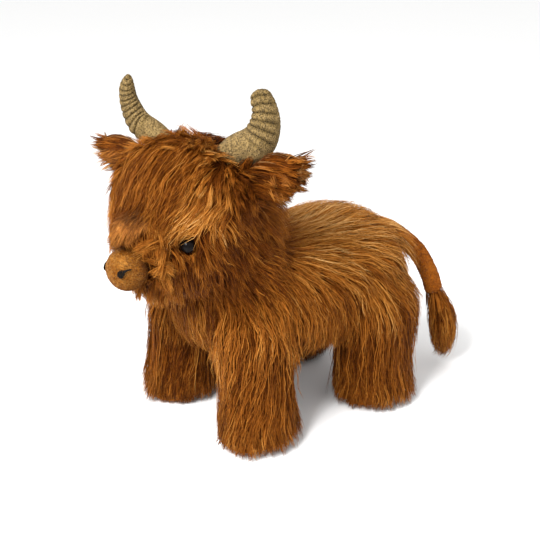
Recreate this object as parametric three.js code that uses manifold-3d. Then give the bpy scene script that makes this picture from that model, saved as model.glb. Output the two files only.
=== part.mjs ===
// A standing plush highland cow, 30 cm class: shaggy body, ribbed stuffed horns, short-pile muzzle.
// Millimetres, +Z up. The toy faces -Y, its left side is +X, and its soles stand on z = 0.
// Every solid is the outer form that the lying pile makes, out to the tips of the locks.
import * as THREE from 'three';
import { mergeVertices } from 'three/addons/utils/BufferGeometryUtils.js';
import Module from 'manifold-3d';

const wasm = await Module();
wasm.setup();

// ---- driving dimensions ----

const clearance = 0.3;                 // air left between pieces that touch

const barrel = {                       // the trunk, a boxy stuffed barrel along Y
  front: -97, rear: 112,
  sides: 26, rings: 16,
  frontSquareness: 2.4, rearSquareness: 3.1,   // 2 is a round end, larger is boxier
  topSquareness: 2.2, underSquareness: 3.3,
  tousle: 1.4,                         // how far the lie of the pile lifts and dips the surface
  tousleWaves: { round: 6, twist: 7, along: 17 },
  stations: [                          // along the length: top and underside heights, half width
    { at: 0.00, top: 152, under: 60, wide: 60 },
    { at: 0.25, top: 153, under: 56, wide: 70 },
    { at: 0.55, top: 152, under: 55, wide: 71 },
    { at: 0.82, top: 159, under: 54, wide: 76 },
    { at: 1.00, top: 163, under: 58, wide: 75 },
  ],
};

const legs = {
  sideways: 52.5,                      // leg centre from the middle of the toy
  astray: { outward: 3.5, back: 4 },   // the right hind leg is set a little further out and back
  frontY: -59, hindY: 62.5,
  top: 112,                            // where the leg ends inside the barrel
  leanIn: 8, leanBack: 4,              // how far the top sits inward and back of the hem
  hem: 2.5,                            // lowest lock tips above the floor
  hemRagged: 5,                        // how much higher the gaps between the tips are
  lockCount: 9,
  lockSwell: 0.03,                     // how much the locks of the hem stand out, against its radius
  raggedShare: 0.35,                   // how far up the locks show
  hemCap: 0.16, topCap: 0.2,           // shares of the rings that close the two ends
  rings: 8,
  front: [                             // from the hem up: height, radius across, radius along
    { at: 0.00, across: 32.5, along: 35 },
    { at: 0.20, across: 31, along: 32 },
    { at: 0.55, across: 28, along: 33 },
    { at: 1.00, across: 28, along: 42 },
  ],
  hind: [
    { at: 0.00, across: 34, along: 34 },
    { at: 0.20, across: 34, along: 35 },
    { at: 0.55, across: 35, along: 39.5 },
    { at: 1.00, across: 38, along: 53 },
  ],
};

const sole = { across: 21, along: 24, thick: 11, rounding: 3.5, forward: 5, arcSteps: 2, sides: 16 };

const headPose = { x: 0, y: -78, z: 177, yawDeg: 16, tiltDeg: 2 };   // turned to its own left, that side up
const skull = { wide: 60, long: 60, high: 60, squareness: 2.2, tousle: 1.6, sides: 26, rings: 17 };
const skullWaves = { first: [5, 0, 3], second: [0, -6, 2] };   // the dips and swells of the tousled pile
const snout = { y: -1, z: -0.38, bulge: 19, narrowness: 7 };   // which way it points, how far, how slim

const muzzleBall = { y: -73, z: -24, wide: 15.8, long: 15.6, high: 15.6, sides: 16, rings: 10 };
const nostril = {                      // a stitched comma on each side of the muzzle
  sideways: { left: 8.0, right: 12.6 },                // the right one sits further round
  up: 1.6,
  stroke: { wide: 1.9, long: 1.6, high: 3.4 },         // half sizes
  arm: { x: 2.0, z: 2.6, wide: 2.4, long: 1.5, high: 0.9 },
  sides: 7, rings: 4,
};
const eyeball = { x: 34, y: -47, z: -9, radius: 5.4, sides: 12, rings: 8 };
const socket = { radius: 9, outward: 4, forward: 5, sides: 10, rings: 6 };   // the pile parted round the eye

const horn = {
  left: {                              // the fuller one; girth is the section against the root's
    reach: [[20, 9, 38], [37, 9, 46], [54, 9, 54.5], [62, 8.5, 67], [63.5, 7, 80], [59.5, 5, 92.5]],
    girth: [{ at: 0.0, share: 1.02 }, { at: 0.4, share: 1.12 }, { at: 0.6, share: 0.93 },
      { at: 0.8, share: 0.73 }, { at: 1.0, share: 0.57 }],
  },
  right: {
    reach: [[20, 8, 41], [37, 8, 48.5], [55, 8, 58], [63, 7.5, 71], [64, 6, 83], [60, 4.5, 95]],
    girth: [{ at: 0.0, share: 1 }, { at: 0.4, share: 0.98 }, { at: 0.7, share: 0.69 },
      { at: 1.0, share: 0.48 }],
  },
  across: 12, along: 9.6,              // half thickness of the flattened section at the root
  sectionTurnDeg: 35,                  // the broad side looks outward and forward
  ribs: 9, ribDepth: 0.09, ribStart: 0.3, ribFade: 0.1,
  rootCap: 0.03, tipCap: 0.1,
  rings: 26, sides: 10,
};

const ear = {
  root: [48, 6, 29],
  tip: { left: [109, 5, 45], right: [107, 5, 40] },   // the left one is carried higher
  thick: 5.5,                          // half thickness of its pile
  leaf: [                              // half height of the leaf from the root to the tip
    { at: 0.0, half: 14 },
    { at: 0.4, half: 17.5 },
    { at: 0.75, half: 12.5 },
    { at: 1.0, half: 7 },
  ],
  fork: { deep: 10, wide: 5 },         // notch between the two long locks at the tip
  rootCap: 0.08, tipCap: 0.16,
  rings: 10, sides: 10,
};

const neckRoll = { y: -52, z: 134, wide: 62, long: 48, high: 42, sides: 18, rings: 11 };
const shoulderCut = {                  // the slanting plane where the neck parts from the trunk
  y: -6, z: 160, slopeDeg: 47,
  block: { wide: 300, long: 200, high: 400 },          // larger than all that lies ahead of it
};

const tailStem = {
  route: [[8, 94, 129], [17, 113, 126], [29, 132, 108], [37, 142, 86], [41, 146, 68]],
  radius: 8.5, cap: 0.08, rings: 12, sides: 10,
};
const tailTuft = {
  route: [[37, 142, 84], [44, 148, 62], [47, 153, 38], [46, 154, 15]],
  girth: [
    { at: 0.0, radius: 9 },
    { at: 0.6, radius: 14.5 },
    { at: 1.0, radius: 11 },
  ],
  rootCap: 0.1, tipCap: 0.12,
  lobes: 5, lobeDepth: 0.06,           // the locks gathered in it
  rings: 12, sides: 15,
};

const finish = {
  coat: { color: 0xa8652f, roughness: 0.85 },
  shortPile: { color: 0xb97d3a, roughness: 0.9 },
  chenille: { color: 0xcdbb88, roughness: 0.92 },
  eyeGloss: { color: 0x080708, roughness: 0.12 },
  thread: { color: 0x141110, roughness: 0.7 },
};

// ---- shaping ----

const degrees = THREE.MathUtils.degToRad;
const lerp = THREE.MathUtils.lerp;

// Smooth value of one field of a list of stations, at a place from 0 to 1.
function between(stations, field, at) {
  const next = Math.max(1, stations.findIndex((station) => station.at >= at));
  const low = stations[next - 1];
  const high = stations[next];
  const share = THREE.MathUtils.clamp((at - low.at) / (high.at - low.at), 0, 1);
  return lerp(low[field], high[field], share * share * (3 - 2 * share));
}

// Keeps only shared corner positions, so that the surface is one closed sheet.
function weld(geometry) {
  geometry.deleteAttribute('normal');
  geometry.deleteAttribute('uv');
  return mergeVertices(geometry, 1e-4);
}

// Moves each corner of a unit ball whose poles are on its Z axis.
// shape(direction, target) writes the new place of the corner into target.
function moulded(sides, rings, shape) {
  const geometry = weld(new THREE.SphereGeometry(1, sides, rings).rotateX(Math.PI / 2));
  const places = geometry.attributes.position;
  const direction = new THREE.Vector3();
  const target = new THREE.Vector3();
  for (let i = 0; i < places.count; i += 1) {
    shape(direction.fromBufferAttribute(places, i), target);
    places.setXYZ(i, target.x, target.y, target.z);
  }
  return geometry;
}

// A ball with three half sizes, squared off where squareness is above 2.
// bulge(direction) adds to the reach there.
function ellipsoid({ x = 0, y = 0, z = 0, wide, long, high, squareness = 2, sides, rings }, bulge = () => 0) {
  return moulded(sides, rings, (d, target) => {
    const reach = (Math.abs(d.x) ** squareness + Math.abs(d.y) ** squareness
      + Math.abs(d.z) ** squareness) ** (-1 / squareness);
    target.set(x + wide * d.x * reach, y + long * d.y * reach, z + high * d.z * reach)
      .addScaledVector(d, bulge(d));
  });
}

// A closed limb along a curve. radii(along, angle) gives the section's two half sizes there.
function limb(curve, sides, rings, up, radii) {
  return moulded(sides, rings, (d, target) => {
    const along = Math.acos(THREE.MathUtils.clamp(-d.z, -1, 1)) / Math.PI;
    const angle = Math.atan2(d.y, d.x);
    const centre = curve.getPoint(along);
    const heading = curve.getTangent(along);
    const side = new THREE.Vector3().crossVectors(up, heading).normalize();
    const front = new THREE.Vector3().crossVectors(heading, side);
    const [across, deep] = radii(along, angle);
    target.copy(centre)
      .addScaledVector(side, Math.cos(angle) * across)
      .addScaledVector(front, Math.sin(angle) * deep);
  });
}

// 1 in the middle of a limb, falling to 0 over a rounded cap at each end.
function caps(along, startCap, endCap) {
  const start = Math.min(along / startCap, 1);
  const end = Math.min((1 - along) / endCap, 1);
  return Math.sqrt(start * (2 - start)) * Math.sqrt(end * (2 - end));
}

const curveThrough = (points) => new THREE.CatmullRomCurve3(points.map((p) => new THREE.Vector3(...p)));

// ---- joining and cutting ----

function solid(geometry) {
  const make = (indices) => new wasm.Manifold(new wasm.Mesh({
    numProp: 3,
    vertProperties: new Float32Array(geometry.attributes.position.array),
    triVerts: new Uint32Array(indices),
  }));
  const body = make(geometry.index.array);
  if (body.volume() > 0) return body;
  const flipped = Array.from(geometry.index.array);
  for (let i = 0; i < flipped.length; i += 3) {
    [flipped[i], flipped[i + 1]] = [flipped[i + 1], flipped[i]];
  }
  return make(flipped);
}

function geometryOf(body) {
  const { vertProperties, triVerts } = body.getMesh();
  const geometry = new THREE.BufferGeometry();
  geometry.setAttribute('position', new THREE.BufferAttribute(new Float32Array(vertProperties), 3));
  geometry.setIndex(new THREE.BufferAttribute(new Uint32Array(triVerts), 1));
  return geometry;
}

// The same solid with its surface moved outward, for cutting a neighbour clear of it.
function swollen(body, by = clearance) {
  const geometry = geometryOf(body);
  geometry.computeVertexNormals();
  const places = geometry.attributes.position;
  const normals = geometry.attributes.normal;
  for (let i = 0; i < places.count; i += 1) {
    places.setXYZ(i, places.getX(i) + by * normals.getX(i), places.getY(i) + by * normals.getY(i),
      places.getZ(i) + by * normals.getZ(i));
  }
  return solid(geometry);
}

const cutClear = (body, ...neighbours) => neighbours.reduce((rest, one) => rest.subtract(swollen(one)), body);

const mirrored = (body) => body.mirror([1, 0, 0]);

const largest = (body) => body.decompose().reduce((a, b) => (a.volume() > b.volume() ? a : b));

// ---- the pieces ----

function makeTrunk() {
  const { front, rear, stations, tousle, tousleWaves } = barrel;
  return solid(moulded(barrel.sides, barrel.rings, (d, target) => {
    const along = (1 + d.z) / 2;
    const angle = Math.atan2(d.y, d.x);
    const endPower = d.z < 0 ? barrel.frontSquareness : barrel.rearSquareness;
    const end = Math.max(0, 1 - Math.abs(d.z) ** endPower) ** (1 / endPower);
    const power = d.y > 0 ? barrel.topSquareness : barrel.underSquareness;
    const square = (Math.abs(Math.cos(angle)) ** power + Math.abs(Math.sin(angle)) ** power) ** (-1 / power);
    const lift = tousle * end * Math.sin(tousleWaves.round * angle + tousleWaves.twist * along)
      * Math.cos(tousleWaves.along * along);
    const top = between(stations, 'top', along);
    const under = between(stations, 'under', along);
    target.set(
      Math.cos(angle) * (between(stations, 'wide', along) * end * square + lift),
      lerp(front, rear, along),
      (top + under) / 2 + Math.sin(angle) * ((top - under) / 2 * end * square + lift),
    );
  }));
}

// A shaggy column whose hem ends in lock tips just over the floor.
function makeLeg(stations) {
  const { hem, hemRagged, lockCount, lockSwell, raggedShare, hemCap, topCap, leanIn, leanBack, top } = legs;
  return solid(moulded(lockCount * 2, legs.rings, (d, target) => {
    const along = Math.acos(THREE.MathUtils.clamp(-d.z, -1, 1)) / Math.PI;
    const angle = Math.atan2(d.y, d.x);
    const close = Math.sqrt(Math.min(1, along / hemCap) * Math.min(1, (1 - along) / topCap));
    const lock = Math.cos(lockCount * angle);
    const reach = close * (1 + lockSwell * lock * Math.max(0, 1 - along / raggedShare));
    const height = Math.max(0, (along - hemCap) / (1 - hemCap));
    target.set(Math.cos(angle) * between(stations, 'across', height) * reach - leanIn * height,
      Math.sin(angle) * between(stations, 'along', height) * reach + leanBack * height,
      lerp(hem + hemRagged * (1 - lock) / 2 * close, top, height));
  }));
}

// A flat-bottomed short-pile sole that shows under the hem.
function makeSole() {
  const { across, along, thick, rounding, arcSteps, sides } = sole;
  const flat = 1 - rounding / across;
  const profile = new THREE.Path();
  profile.moveTo(0, 0);
  profile.lineTo(flat, 0);
  profile.quadraticCurveTo(1, 0, 1, rounding);
  profile.lineTo(1, thick - rounding);
  profile.quadraticCurveTo(1, thick, flat, thick);
  profile.lineTo(0, thick);
  const geometry = new THREE.LatheGeometry(profile.getPoints(arcSteps), sides);
  return solid(weld(geometry.rotateX(Math.PI / 2).scale(across, along, 1)));
}

// The shaggy ball of the head, tousled, and drawn out towards the muzzle.
function makeSkull() {
  const nose = new THREE.Vector3(0, snout.y, snout.z).normalize();
  const first = new THREE.Vector3(...skullWaves.first);
  const second = new THREE.Vector3(...skullWaves.second);
  return solid(ellipsoid(skull, (d) => skull.tousle * Math.sin(d.dot(first)) * Math.cos(d.dot(second))
    + snout.bulge * Math.max(0, d.dot(nose)) ** snout.narrowness));
}

// Stuffed horn with a flattened section, ribbed from part way up to the blunt tip.
function makeHorn({ reach, girth }) {
  const { across, along, ribs, ribDepth, ribStart, ribFade, rootCap, tipCap } = horn;
  const turn = degrees(horn.sectionTurnDeg);
  const forward = new THREE.Vector3(0, -1, 0);
  return solid(limb(curveThrough(reach), horn.sides, horn.rings, forward, (at, angle) => {
    const taper = between(girth, 'share', at) * caps(at, rootCap, tipCap);
    const ribbed = THREE.MathUtils.smoothstep(at, ribStart, ribStart + ribFade);
    const phase = Math.abs(Math.sin(Math.PI * ribs * (at - ribStart) / (1 - ribStart)));
    const rib = 1 - ribDepth * ribbed * (1 - phase);
    const broad = Math.hypot(Math.cos(angle - turn) / across, Math.sin(angle - turn) / along) ** -1;
    return [broad * taper * rib, broad * taper * rib];
  }));
}

// Furry leaf whose tip is forked by two long locks.
function makeEar(tip) {
  const root = new THREE.Vector3(...ear.root);
  const end = new THREE.Vector3(...tip);
  const forward = new THREE.Vector3(0, -1, 0);
  const leaf = limb(new THREE.LineCurve3(root, end), ear.sides, ear.rings, forward, (at) => {
    const closed = caps(at, ear.rootCap, ear.tipCap);
    return [between(ear.leaf, 'half', at) * closed, ear.thick * closed];
  });
  const notch = new THREE.Shape([
    new THREE.Vector2(-ear.fork.deep, 0),
    new THREE.Vector2(ear.fork.deep, -ear.fork.wide),
    new THREE.Vector2(ear.fork.deep, ear.fork.wide),
  ]);
  const wedge = new THREE.ExtrudeGeometry(notch, { depth: 4 * ear.thick, bevelEnabled: false })
    .translate(0, 0, -2 * ear.thick).rotateX(Math.PI / 2)
    .rotateY(-Math.atan2(end.z - root.z, end.x - root.x)).translate(...tip);
  return solid(leaf).subtract(solid(weld(wedge)));
}

// Two satin strokes laid on the side of the muzzle, facing straight out of it.
function makeNostril(sideways) {
  const { up, stroke, arm, sides, rings } = nostril;
  const { wide, long, high, y, z } = muzzleBall;
  const forward = -long * Math.sqrt(1 - (sideways / wide) ** 2 - (up / high) ** 2);
  const facing = Math.atan2(sideways / wide ** 2, -forward / long ** 2);
  return [stroke, arm].map((mark) => solid(ellipsoid({ ...mark, sides, rings }).rotateZ(facing)
    .translate(sideways, y + forward, z + up))).reduce((a, b) => a.add(b));
}

const ball = ({ x, y, z }, { radius, sides, rings }) => solid(ellipsoid({
  x, y, z, wide: radius, long: radius, high: radius, sides, rings }));

const skullSolid = makeSkull();
const muzzle = solid(ellipsoid(muzzleBall));
const eyeSolid = ball(eyeball, eyeball);
const parting = { ...eyeball, x: eyeball.x + socket.outward, y: eyeball.y - socket.forward };
const socketSolid = ball(parting, socket);
const horns = { left: makeHorn(horn.left), right: mirrored(makeHorn(horn.right)) };
const ears = { left: makeEar(ear.tip.left), right: mirrored(makeEar(ear.tip.right)) };

const headGroup = new THREE.Group();
headGroup.position.set(headPose.x, headPose.y, headPose.z);
headGroup.rotation.set(0, degrees(-headPose.tiltDeg), degrees(headPose.yawDeg), 'ZYX');
headGroup.updateMatrix();
const inBody = (body) => solid(geometryOf(body).applyMatrix4(headGroup.matrix));

const skullParted = skullSolid.subtract(socketSolid).subtract(mirrored(socketSolid));
const head = largest(cutClear(skullParted, muzzle, eyeSolid, mirrored(eyeSolid), horns.left,
  horns.right, ears.left, ears.right));
const barrelSolid = makeTrunk();
const { wide, long, high } = shoulderCut.block;
const aheadOfCut = solid(weld(new THREE.BoxGeometry(wide, long, high).translate(0, -long / 2, 0)
  .rotateX(degrees(shoulderCut.slopeDeg - 90)).translate(0, shoulderCut.y, shoulderCut.z)));
const trunk = largest(cutClear(barrelSolid, aheadOfCut));
const torso = barrelSolid.add(solid(ellipsoid(neckRoll)));
const neck = largest(cutClear(torso.intersect(aheadOfCut), inBody(skullSolid)));

const stem = solid(limb(curveThrough(tailStem.route), tailStem.sides, tailStem.rings,
  new THREE.Vector3(1, 0, 0), (at) => {
    const width = tailStem.radius * caps(at, tailStem.cap, tailStem.cap);
    return [width, width];
  }));
const tuft = solid(limb(curveThrough(tailTuft.route), tailTuft.sides, tailTuft.rings,
  new THREE.Vector3(1, 0, 0), (at, angle) => {
    const lobe = 1 + tailTuft.lobeDepth * Math.cos(tailTuft.lobes * angle);
    const width = between(tailTuft.girth, 'radius', at) * caps(at, tailTuft.rootCap, tailTuft.tipCap) * lobe;
    return [width, width];
  }));

// ---- the toy ----

function piece(name, body, look, parent) {
  const material = new THREE.MeshStandardMaterial({ ...look, metalness: 0 });
  const mesh = new THREE.Mesh(geometryOf(body), material);
  mesh.name = name;
  parent.add(mesh);
}

const cow = new THREE.Group();
cow.add(headGroup);

piece('trunk', trunk, finish.coat, cow);
piece('neck', neck, finish.coat, cow);
piece('head', head, finish.coat, headGroup);
piece('muzzle', muzzle, finish.shortPile, headGroup);
for (const [side, pick] of [['left', (body) => body], ['right', mirrored]]) {
  piece(`horn_${side}`, horns[side], finish.chenille, headGroup);
  piece(`ear_${side}`, largest(cutClear(ears[side], horns[side])), finish.coat, headGroup);
  piece(`eye_${side}`, pick(eyeSolid), finish.eyeGloss, headGroup);
  const thread = largest(cutClear(makeNostril(nostril.sideways[side]), muzzle));
  piece(`nostril_${side}`, pick(thread), finish.thread, headGroup);
}

for (const [end, y] of [['front', legs.frontY], ['hind', legs.hindY]]) {
  for (const [side, sign] of [['left', 1], ['right', -1]]) {
    const upright = makeLeg(legs[end]);
    const off = end === 'hind' && side === 'right' ? legs.astray : { outward: 0, back: 0 };
    const place = [sign * (legs.sideways + off.outward), y + off.back, 0];
    const column = (sign < 0 ? mirrored(upright) : upright).translate(place);
    const pad = makeSole().translate([place[0], place[1] - sole.forward, 0]);
    piece(`leg_${end}_${side}`, largest(cutClear(column, torso, pad)), finish.coat, cow);
    piece(`sole_${end}_${side}`, pad, finish.shortPile, cow);
  }
}

piece('tail_stem', largest(cutClear(stem, trunk, tuft)), finish.shortPile, cow);
piece('tail_tuft', tuft, finish.coat, cow);

// The toy's own origin: the middle of its outline, on the floor.
cow.updateMatrixWorld(true);
const outline = new THREE.Box3().setFromObject(cow, true);
const middle = outline.getCenter(new THREE.Vector3());
cow.position.set(-middle.x, -middle.y, -outline.min.z);

export default cow;
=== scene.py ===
# A plush highland cow: a stuffed cloth skin under a long combed coat, with ribbed horns and bead eyes.
import math

import bmesh
import bpy
import numpy as np
from mathutils import Matrix, Vector
from mathutils.bvhtree import BVHTree
from mathutils.kdtree import KDTree


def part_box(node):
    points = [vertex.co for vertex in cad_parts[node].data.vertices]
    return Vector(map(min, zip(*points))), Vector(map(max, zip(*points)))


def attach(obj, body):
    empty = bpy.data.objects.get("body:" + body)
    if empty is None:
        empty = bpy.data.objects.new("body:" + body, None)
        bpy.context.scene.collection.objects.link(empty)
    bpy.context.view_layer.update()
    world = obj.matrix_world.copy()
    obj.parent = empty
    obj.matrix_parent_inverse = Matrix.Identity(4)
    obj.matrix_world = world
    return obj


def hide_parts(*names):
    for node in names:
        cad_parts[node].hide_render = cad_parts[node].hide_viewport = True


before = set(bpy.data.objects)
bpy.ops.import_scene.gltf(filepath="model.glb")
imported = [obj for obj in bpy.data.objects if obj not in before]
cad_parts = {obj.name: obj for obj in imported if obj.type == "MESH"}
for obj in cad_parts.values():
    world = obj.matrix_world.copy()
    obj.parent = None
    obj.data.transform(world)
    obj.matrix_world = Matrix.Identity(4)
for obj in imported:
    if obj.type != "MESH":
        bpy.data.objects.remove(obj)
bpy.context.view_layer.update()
mm = 0.001
tiny = 1e-12
sides = {"left": 1, "right": -1}  # the toy's own, and the sign of x there
print("frame loaded:", len(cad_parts), "nodes")

# ---- the toy's own frames, found from the eyes, whose places on the head are known

# places on the head, and on the body where a value says so, are in mm, with y towards the back and z up
eyes = {
    "place": (34, -47, -9),
    "radius": 5.3 * mm,
    "clear": 7.1 * mm,  # no hair comes nearer to a bead's middle
    "lookUp": 24,  # how far the clear way out of a bead rises while it goes the bead's own distance out
}
headPose = {"onBody": (0, -78, 177), "yaw": math.radians(16), "tilt": math.radians(-2)}
headTurn = np.array(
    (Matrix.Rotation(headPose["yaw"], 4, "Z") @ Matrix.Rotation(headPose["tilt"], 4, "Y")).to_3x3()
)


def middleOf(node):
    low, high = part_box(node)
    return np.array((low + high) / 2)


betweenEyes = (middleOf("eye_left") + middleOf("eye_right")) / 2
headPlace = betweenEyes - headTurn @ (np.array([0, eyes["place"][1], eyes["place"][2]]) * mm)
bodyOrigin = headPlace - np.array(headPose["onBody"]) * mm


def toHead(points):
    return (points - headPlace) @ headTurn


def fromHead(points):
    return np.asarray(points, float) @ headTurn.T + headPlace


def turnFromHead(vectors):
    return np.asarray(vectors, float) @ headTurn.T


def onHead(place, sign=1):
    # a place in mm on the head, or its mirror image, as a point of the scene
    return fromHead(np.array(place) * [sign, 1, 1] * mm)


# ---- camera

view = {
    "azimuth": math.radians(51.9),
    "elevation": math.radians(20.8),
    "distance": 0.85,
    "onBody": (-31.7, 19.4, 97.0),
    "lens": 66.67,
    "sensor": 36.0,
    "nearest": 0.01,
}
viewTarget = Vector(bodyOrigin + np.array(view["onBody"]) * mm)


def backFrom(azimuth, elevation):
    level = math.cos(elevation)
    return Vector((math.sin(azimuth) * level, -math.cos(azimuth) * level, math.sin(elevation)))


def aimAt(thing, place, target):
    thing.location = place
    thing.rotation_euler = (target - place).to_track_quat("-Z", "Y").to_euler()


def addObject(name, data):
    thing = bpy.data.objects.new(name, data)
    bpy.context.scene.collection.objects.link(thing)
    return thing


def makeCamera():
    data = bpy.data.cameras.new("camera")
    data.lens = view["lens"]
    data.sensor_width = view["sensor"]
    data.clip_start = view["nearest"]
    camera = addObject("camera", data)
    aimAt(camera, viewTarget + backFrom(view["azimuth"], view["elevation"]) * view["distance"], viewTarget)
    bpy.context.scene.camera = camera


makeCamera()

# ---- small helpers


def unit(vectors):
    return vectors / np.maximum(np.linalg.norm(vectors, axis=-1, keepdims=True), tiny)


def dot(a, b):
    return (a * b).sum(axis=-1, keepdims=True)


def smooth(values, low, high):
    share = np.clip((values - low) / (high - low), 0, 1)
    return share * share * (3 - 2 * share)


def mix(a, b, share):
    return a + (b - a) * share


def flatten(vectors, normals):
    return unit(vectors - normals * dot(vectors, normals))


def squaredGaps(points, others):
    return ((points[:, None] - others[None]) ** 2).sum(axis=2)


def nearestOf(places, points):
    # for each point, the number of the nearest place
    finder = KDTree(len(places))
    for number, place in enumerate(places):
        finder.insert(Vector(place), number)
    finder.balance()
    return np.array([finder.find(Vector(point))[1] for point in points])


def ripple(points, scale, seed, waveCount=8):
    # a smooth value that wanders between about -1 and 1 over the body
    rng = np.random.default_rng(seed)
    waves = rng.normal(size=(waveCount, 3)) / scale
    phases = rng.uniform(0, 2 * math.pi, waveCount)
    return np.sin(points @ waves.T + phases).mean(axis=1) * 2


routeSteps = 24


def alongRoute(route):
    # the function that gives, for any points, the direction of the route beside them
    ways = unit(np.gradient(route, axis=0))
    return lambda points: ways[squaredGaps(points, route).argmin(axis=1)]


def curveAt(controls, shares):
    # a Catmull-Rom curve through the controls, sampled at shares from 0 to 1
    knots = np.asarray(controls, float)
    padded = np.vstack([2 * knots[0] - knots[1], knots, 2 * knots[-1] - knots[-2]])
    place = np.clip(np.asarray(shares), 0, 1) * (len(knots) - 1)
    index = np.minimum(place.astype(int), len(knots) - 2)
    t = (place - index)[:, None]
    a, b, c, d = (padded[index + k] for k in range(4))
    return 0.5 * (2 * b + (c - a) * t + (2 * a - 5 * b + 4 * c - d) * t**2 + (3 * b - a - 3 * c + d) * t**3)


# ---- shader groups and materials


class Wiring:
    # puts nodes in a tree and joins them, with a value or another node's output for each input
    def __init__(self, tree):
        self.tree = tree

    def add(self, kind, inputs=None, **settings):
        node = self.tree.nodes.new(kind)
        for name, value in settings.items():
            setattr(node, name, value)
        for name, value in (inputs or {}).items():
            self.feed(node.inputs[name], value)
        return node

    def feed(self, socket, value):
        if isinstance(value, bpy.types.NodeSocket):
            self.tree.links.new(value, socket)
        else:
            socket.default_value = value

    def place(self):
        return self.add("ShaderNodeTexCoord").outputs["Object"]

    def attribute(self, name):
        return self.add("ShaderNodeAttribute", attribute_name=name).outputs["Fac"]

    def noise(self, place, scale, detail=2.0):
        inputs = {"Vector": place, "Scale": scale, "Detail": detail}
        return self.add("ShaderNodeTexNoise", inputs).outputs["Fac"]

    def math(self, operation, a, b=0.0):
        return self.add("ShaderNodeMath", {0: a, 1: b}, operation=operation).outputs[0]

    def blend(self, share, a, b):
        node = self.add("ShaderNodeMix", data_type="RGBA")
        for index, value in ((0, share), (6, a), (7, b)):
            self.feed(node.inputs[index], value)
        return node.outputs[2]

    def ramp(self, value, stops):
        node = self.add("ShaderNodeValToRGB", {"Fac": value})
        elements = node.color_ramp.elements
        while len(elements) < len(stops):
            elements.new(0.5)
        for element, (place, colour) in zip(elements, stops):
            element.position = place
            element.color = (*colour, 1)
        return node.outputs["Color"]

    def bump(self, height, strength, distance):
        inputs = {"Height": height, "Strength": strength, "Distance": distance}
        return self.add("ShaderNodeBump", inputs).outputs["Normal"]

    def group(self, group, **inputs):
        return self.add("ShaderNodeGroup", inputs, node_tree=group).outputs


def makeGroup(name, inputs, outputs):
    group = bpy.data.node_groups.new(name, "ShaderNodeTree")
    for label, default in inputs.items():
        socket = group.interface.new_socket(name=label, in_out="INPUT", socket_type="NodeSocketFloat")
        socket.default_value = default
    for label, kind in outputs.items():
        group.interface.new_socket(name=label, in_out="OUTPUT", socket_type=kind)
    wiring = Wiring(group)
    return group, wiring, wiring.add("NodeGroupInput").outputs, wiring.add("NodeGroupOutput").inputs


furColours = {
    "shadow": (0.045, 0.0095, 0.0004),
    "deep": (0.150, 0.037, 0.0018),
    "middle": (0.345, 0.108, 0.0120),
    "light": (0.590, 0.240, 0.042),
    "tip": (0.790, 0.440, 0.150),
    "frost": (0.590, 0.380, 0.165),
}
furScale = [(0.0, "shadow"), (0.25, "deep"), (0.52, "middle"), (0.78, "light"), (1.0, "tip")]
furFinish = {
    "grainScale": 260.0,
    "grain": 0.22,
    "strands": 9.0,  # how close the fine lines along a lock lie
    "strandTone": 0.05,
    "relief": 0.1 * mm,
    "gloss": 0.06,
}
napFinish = {
    "cloudScale": 90.0,
    "roughness": 0.8,
    "gloss": 0.05,
    "sheen": 0.04,
    "sheenRoughness": 0.45,
    "bump": 0.5,
    "relief": 0.4 * mm,
    "shadow": 0.35,  # the colour between the tufts, as a share of the dark one
}
napStops = (0.0, 0.35, 0.8)  # where the shade between the tufts, the dark and the light stand on the scale


def makeFurTint():
    # one colour scale for the skin and for every lock, so that both carry the same markings and painted shade
    inputs = {"Tone": 0.5, "Frost": 0.0, "Grain": 0.1}
    group, wiring, given, result = makeGroup("furTint", inputs, {"Color": "NodeSocketColor"})
    grain = wiring.noise(wiring.place(), furFinish["grainScale"])
    shift = wiring.math("MULTIPLY", wiring.math("SUBTRACT", grain, 0.5), given["Grain"])
    tone = wiring.math("ADD", given["Tone"], shift)
    colour = wiring.ramp(tone, [(at, furColours[key]) for at, key in furScale])
    wiring.feed(result["Color"], wiring.blend(given["Frost"], colour, (*furColours["frost"], 1)))
    return group


def makeNapGrain():
    # the fine speckle of short pile: a mask for colour and a height for bump
    outputs = {"Mask": "NodeSocketFloat", "Height": "NodeSocketFloat"}
    group, wiring, given, result = makeGroup("napGrain", {"Scale": 900.0, "Stretch": 0.35}, outputs)
    place = wiring.place()
    stretch = wiring.add("ShaderNodeCombineXYZ", {"X": given["Stretch"], "Y": 1.0, "Z": 1.0}).outputs[0]
    pulled = wiring.add("ShaderNodeVectorMath", {0: place, 1: stretch}, operation="MULTIPLY").outputs[0]
    fine = wiring.noise(pulled, given["Scale"], 3.0)
    cloud = wiring.noise(place, napFinish["cloudScale"])
    wiring.feed(result["Mask"], wiring.math("ADD", fine, wiring.math("SUBTRACT", cloud, 0.5)))
    wiring.feed(result["Height"], fine)
    return group


furTint = makeFurTint()
napGrain = makeNapGrain()


def newMaterial(name, **constants):
    material = bpy.data.materials.new(name)
    material.use_nodes = True
    shader = material.node_tree.nodes["Principled BSDF"]
    for label, value in constants.items():
        shader.inputs[label.replace("_", " ")].default_value = value
    return material, Wiring(material.node_tree), shader.inputs


def makeFurMaterial(name, roughness, strandBump):
    material, wiring, shader = newMaterial(name, Roughness=roughness, Specular_IOR_Level=furFinish["gloss"])
    tone, frost, across = (wiring.attribute(label) for label in ("tone", "frost", "across"))
    strands = wiring.math("SINE", wiring.math("MULTIPLY", across, furFinish["strands"]))
    lined = wiring.math("ADD", tone, wiring.math("MULTIPLY", strands, furFinish["strandTone"]))
    tint = wiring.group(furTint, Tone=lined, Frost=frost, Grain=furFinish["grain"])
    wiring.feed(shader["Base Color"], tint["Color"])
    wiring.feed(shader["Normal"], wiring.bump(strands, strandBump, furFinish["relief"]))
    return material


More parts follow.
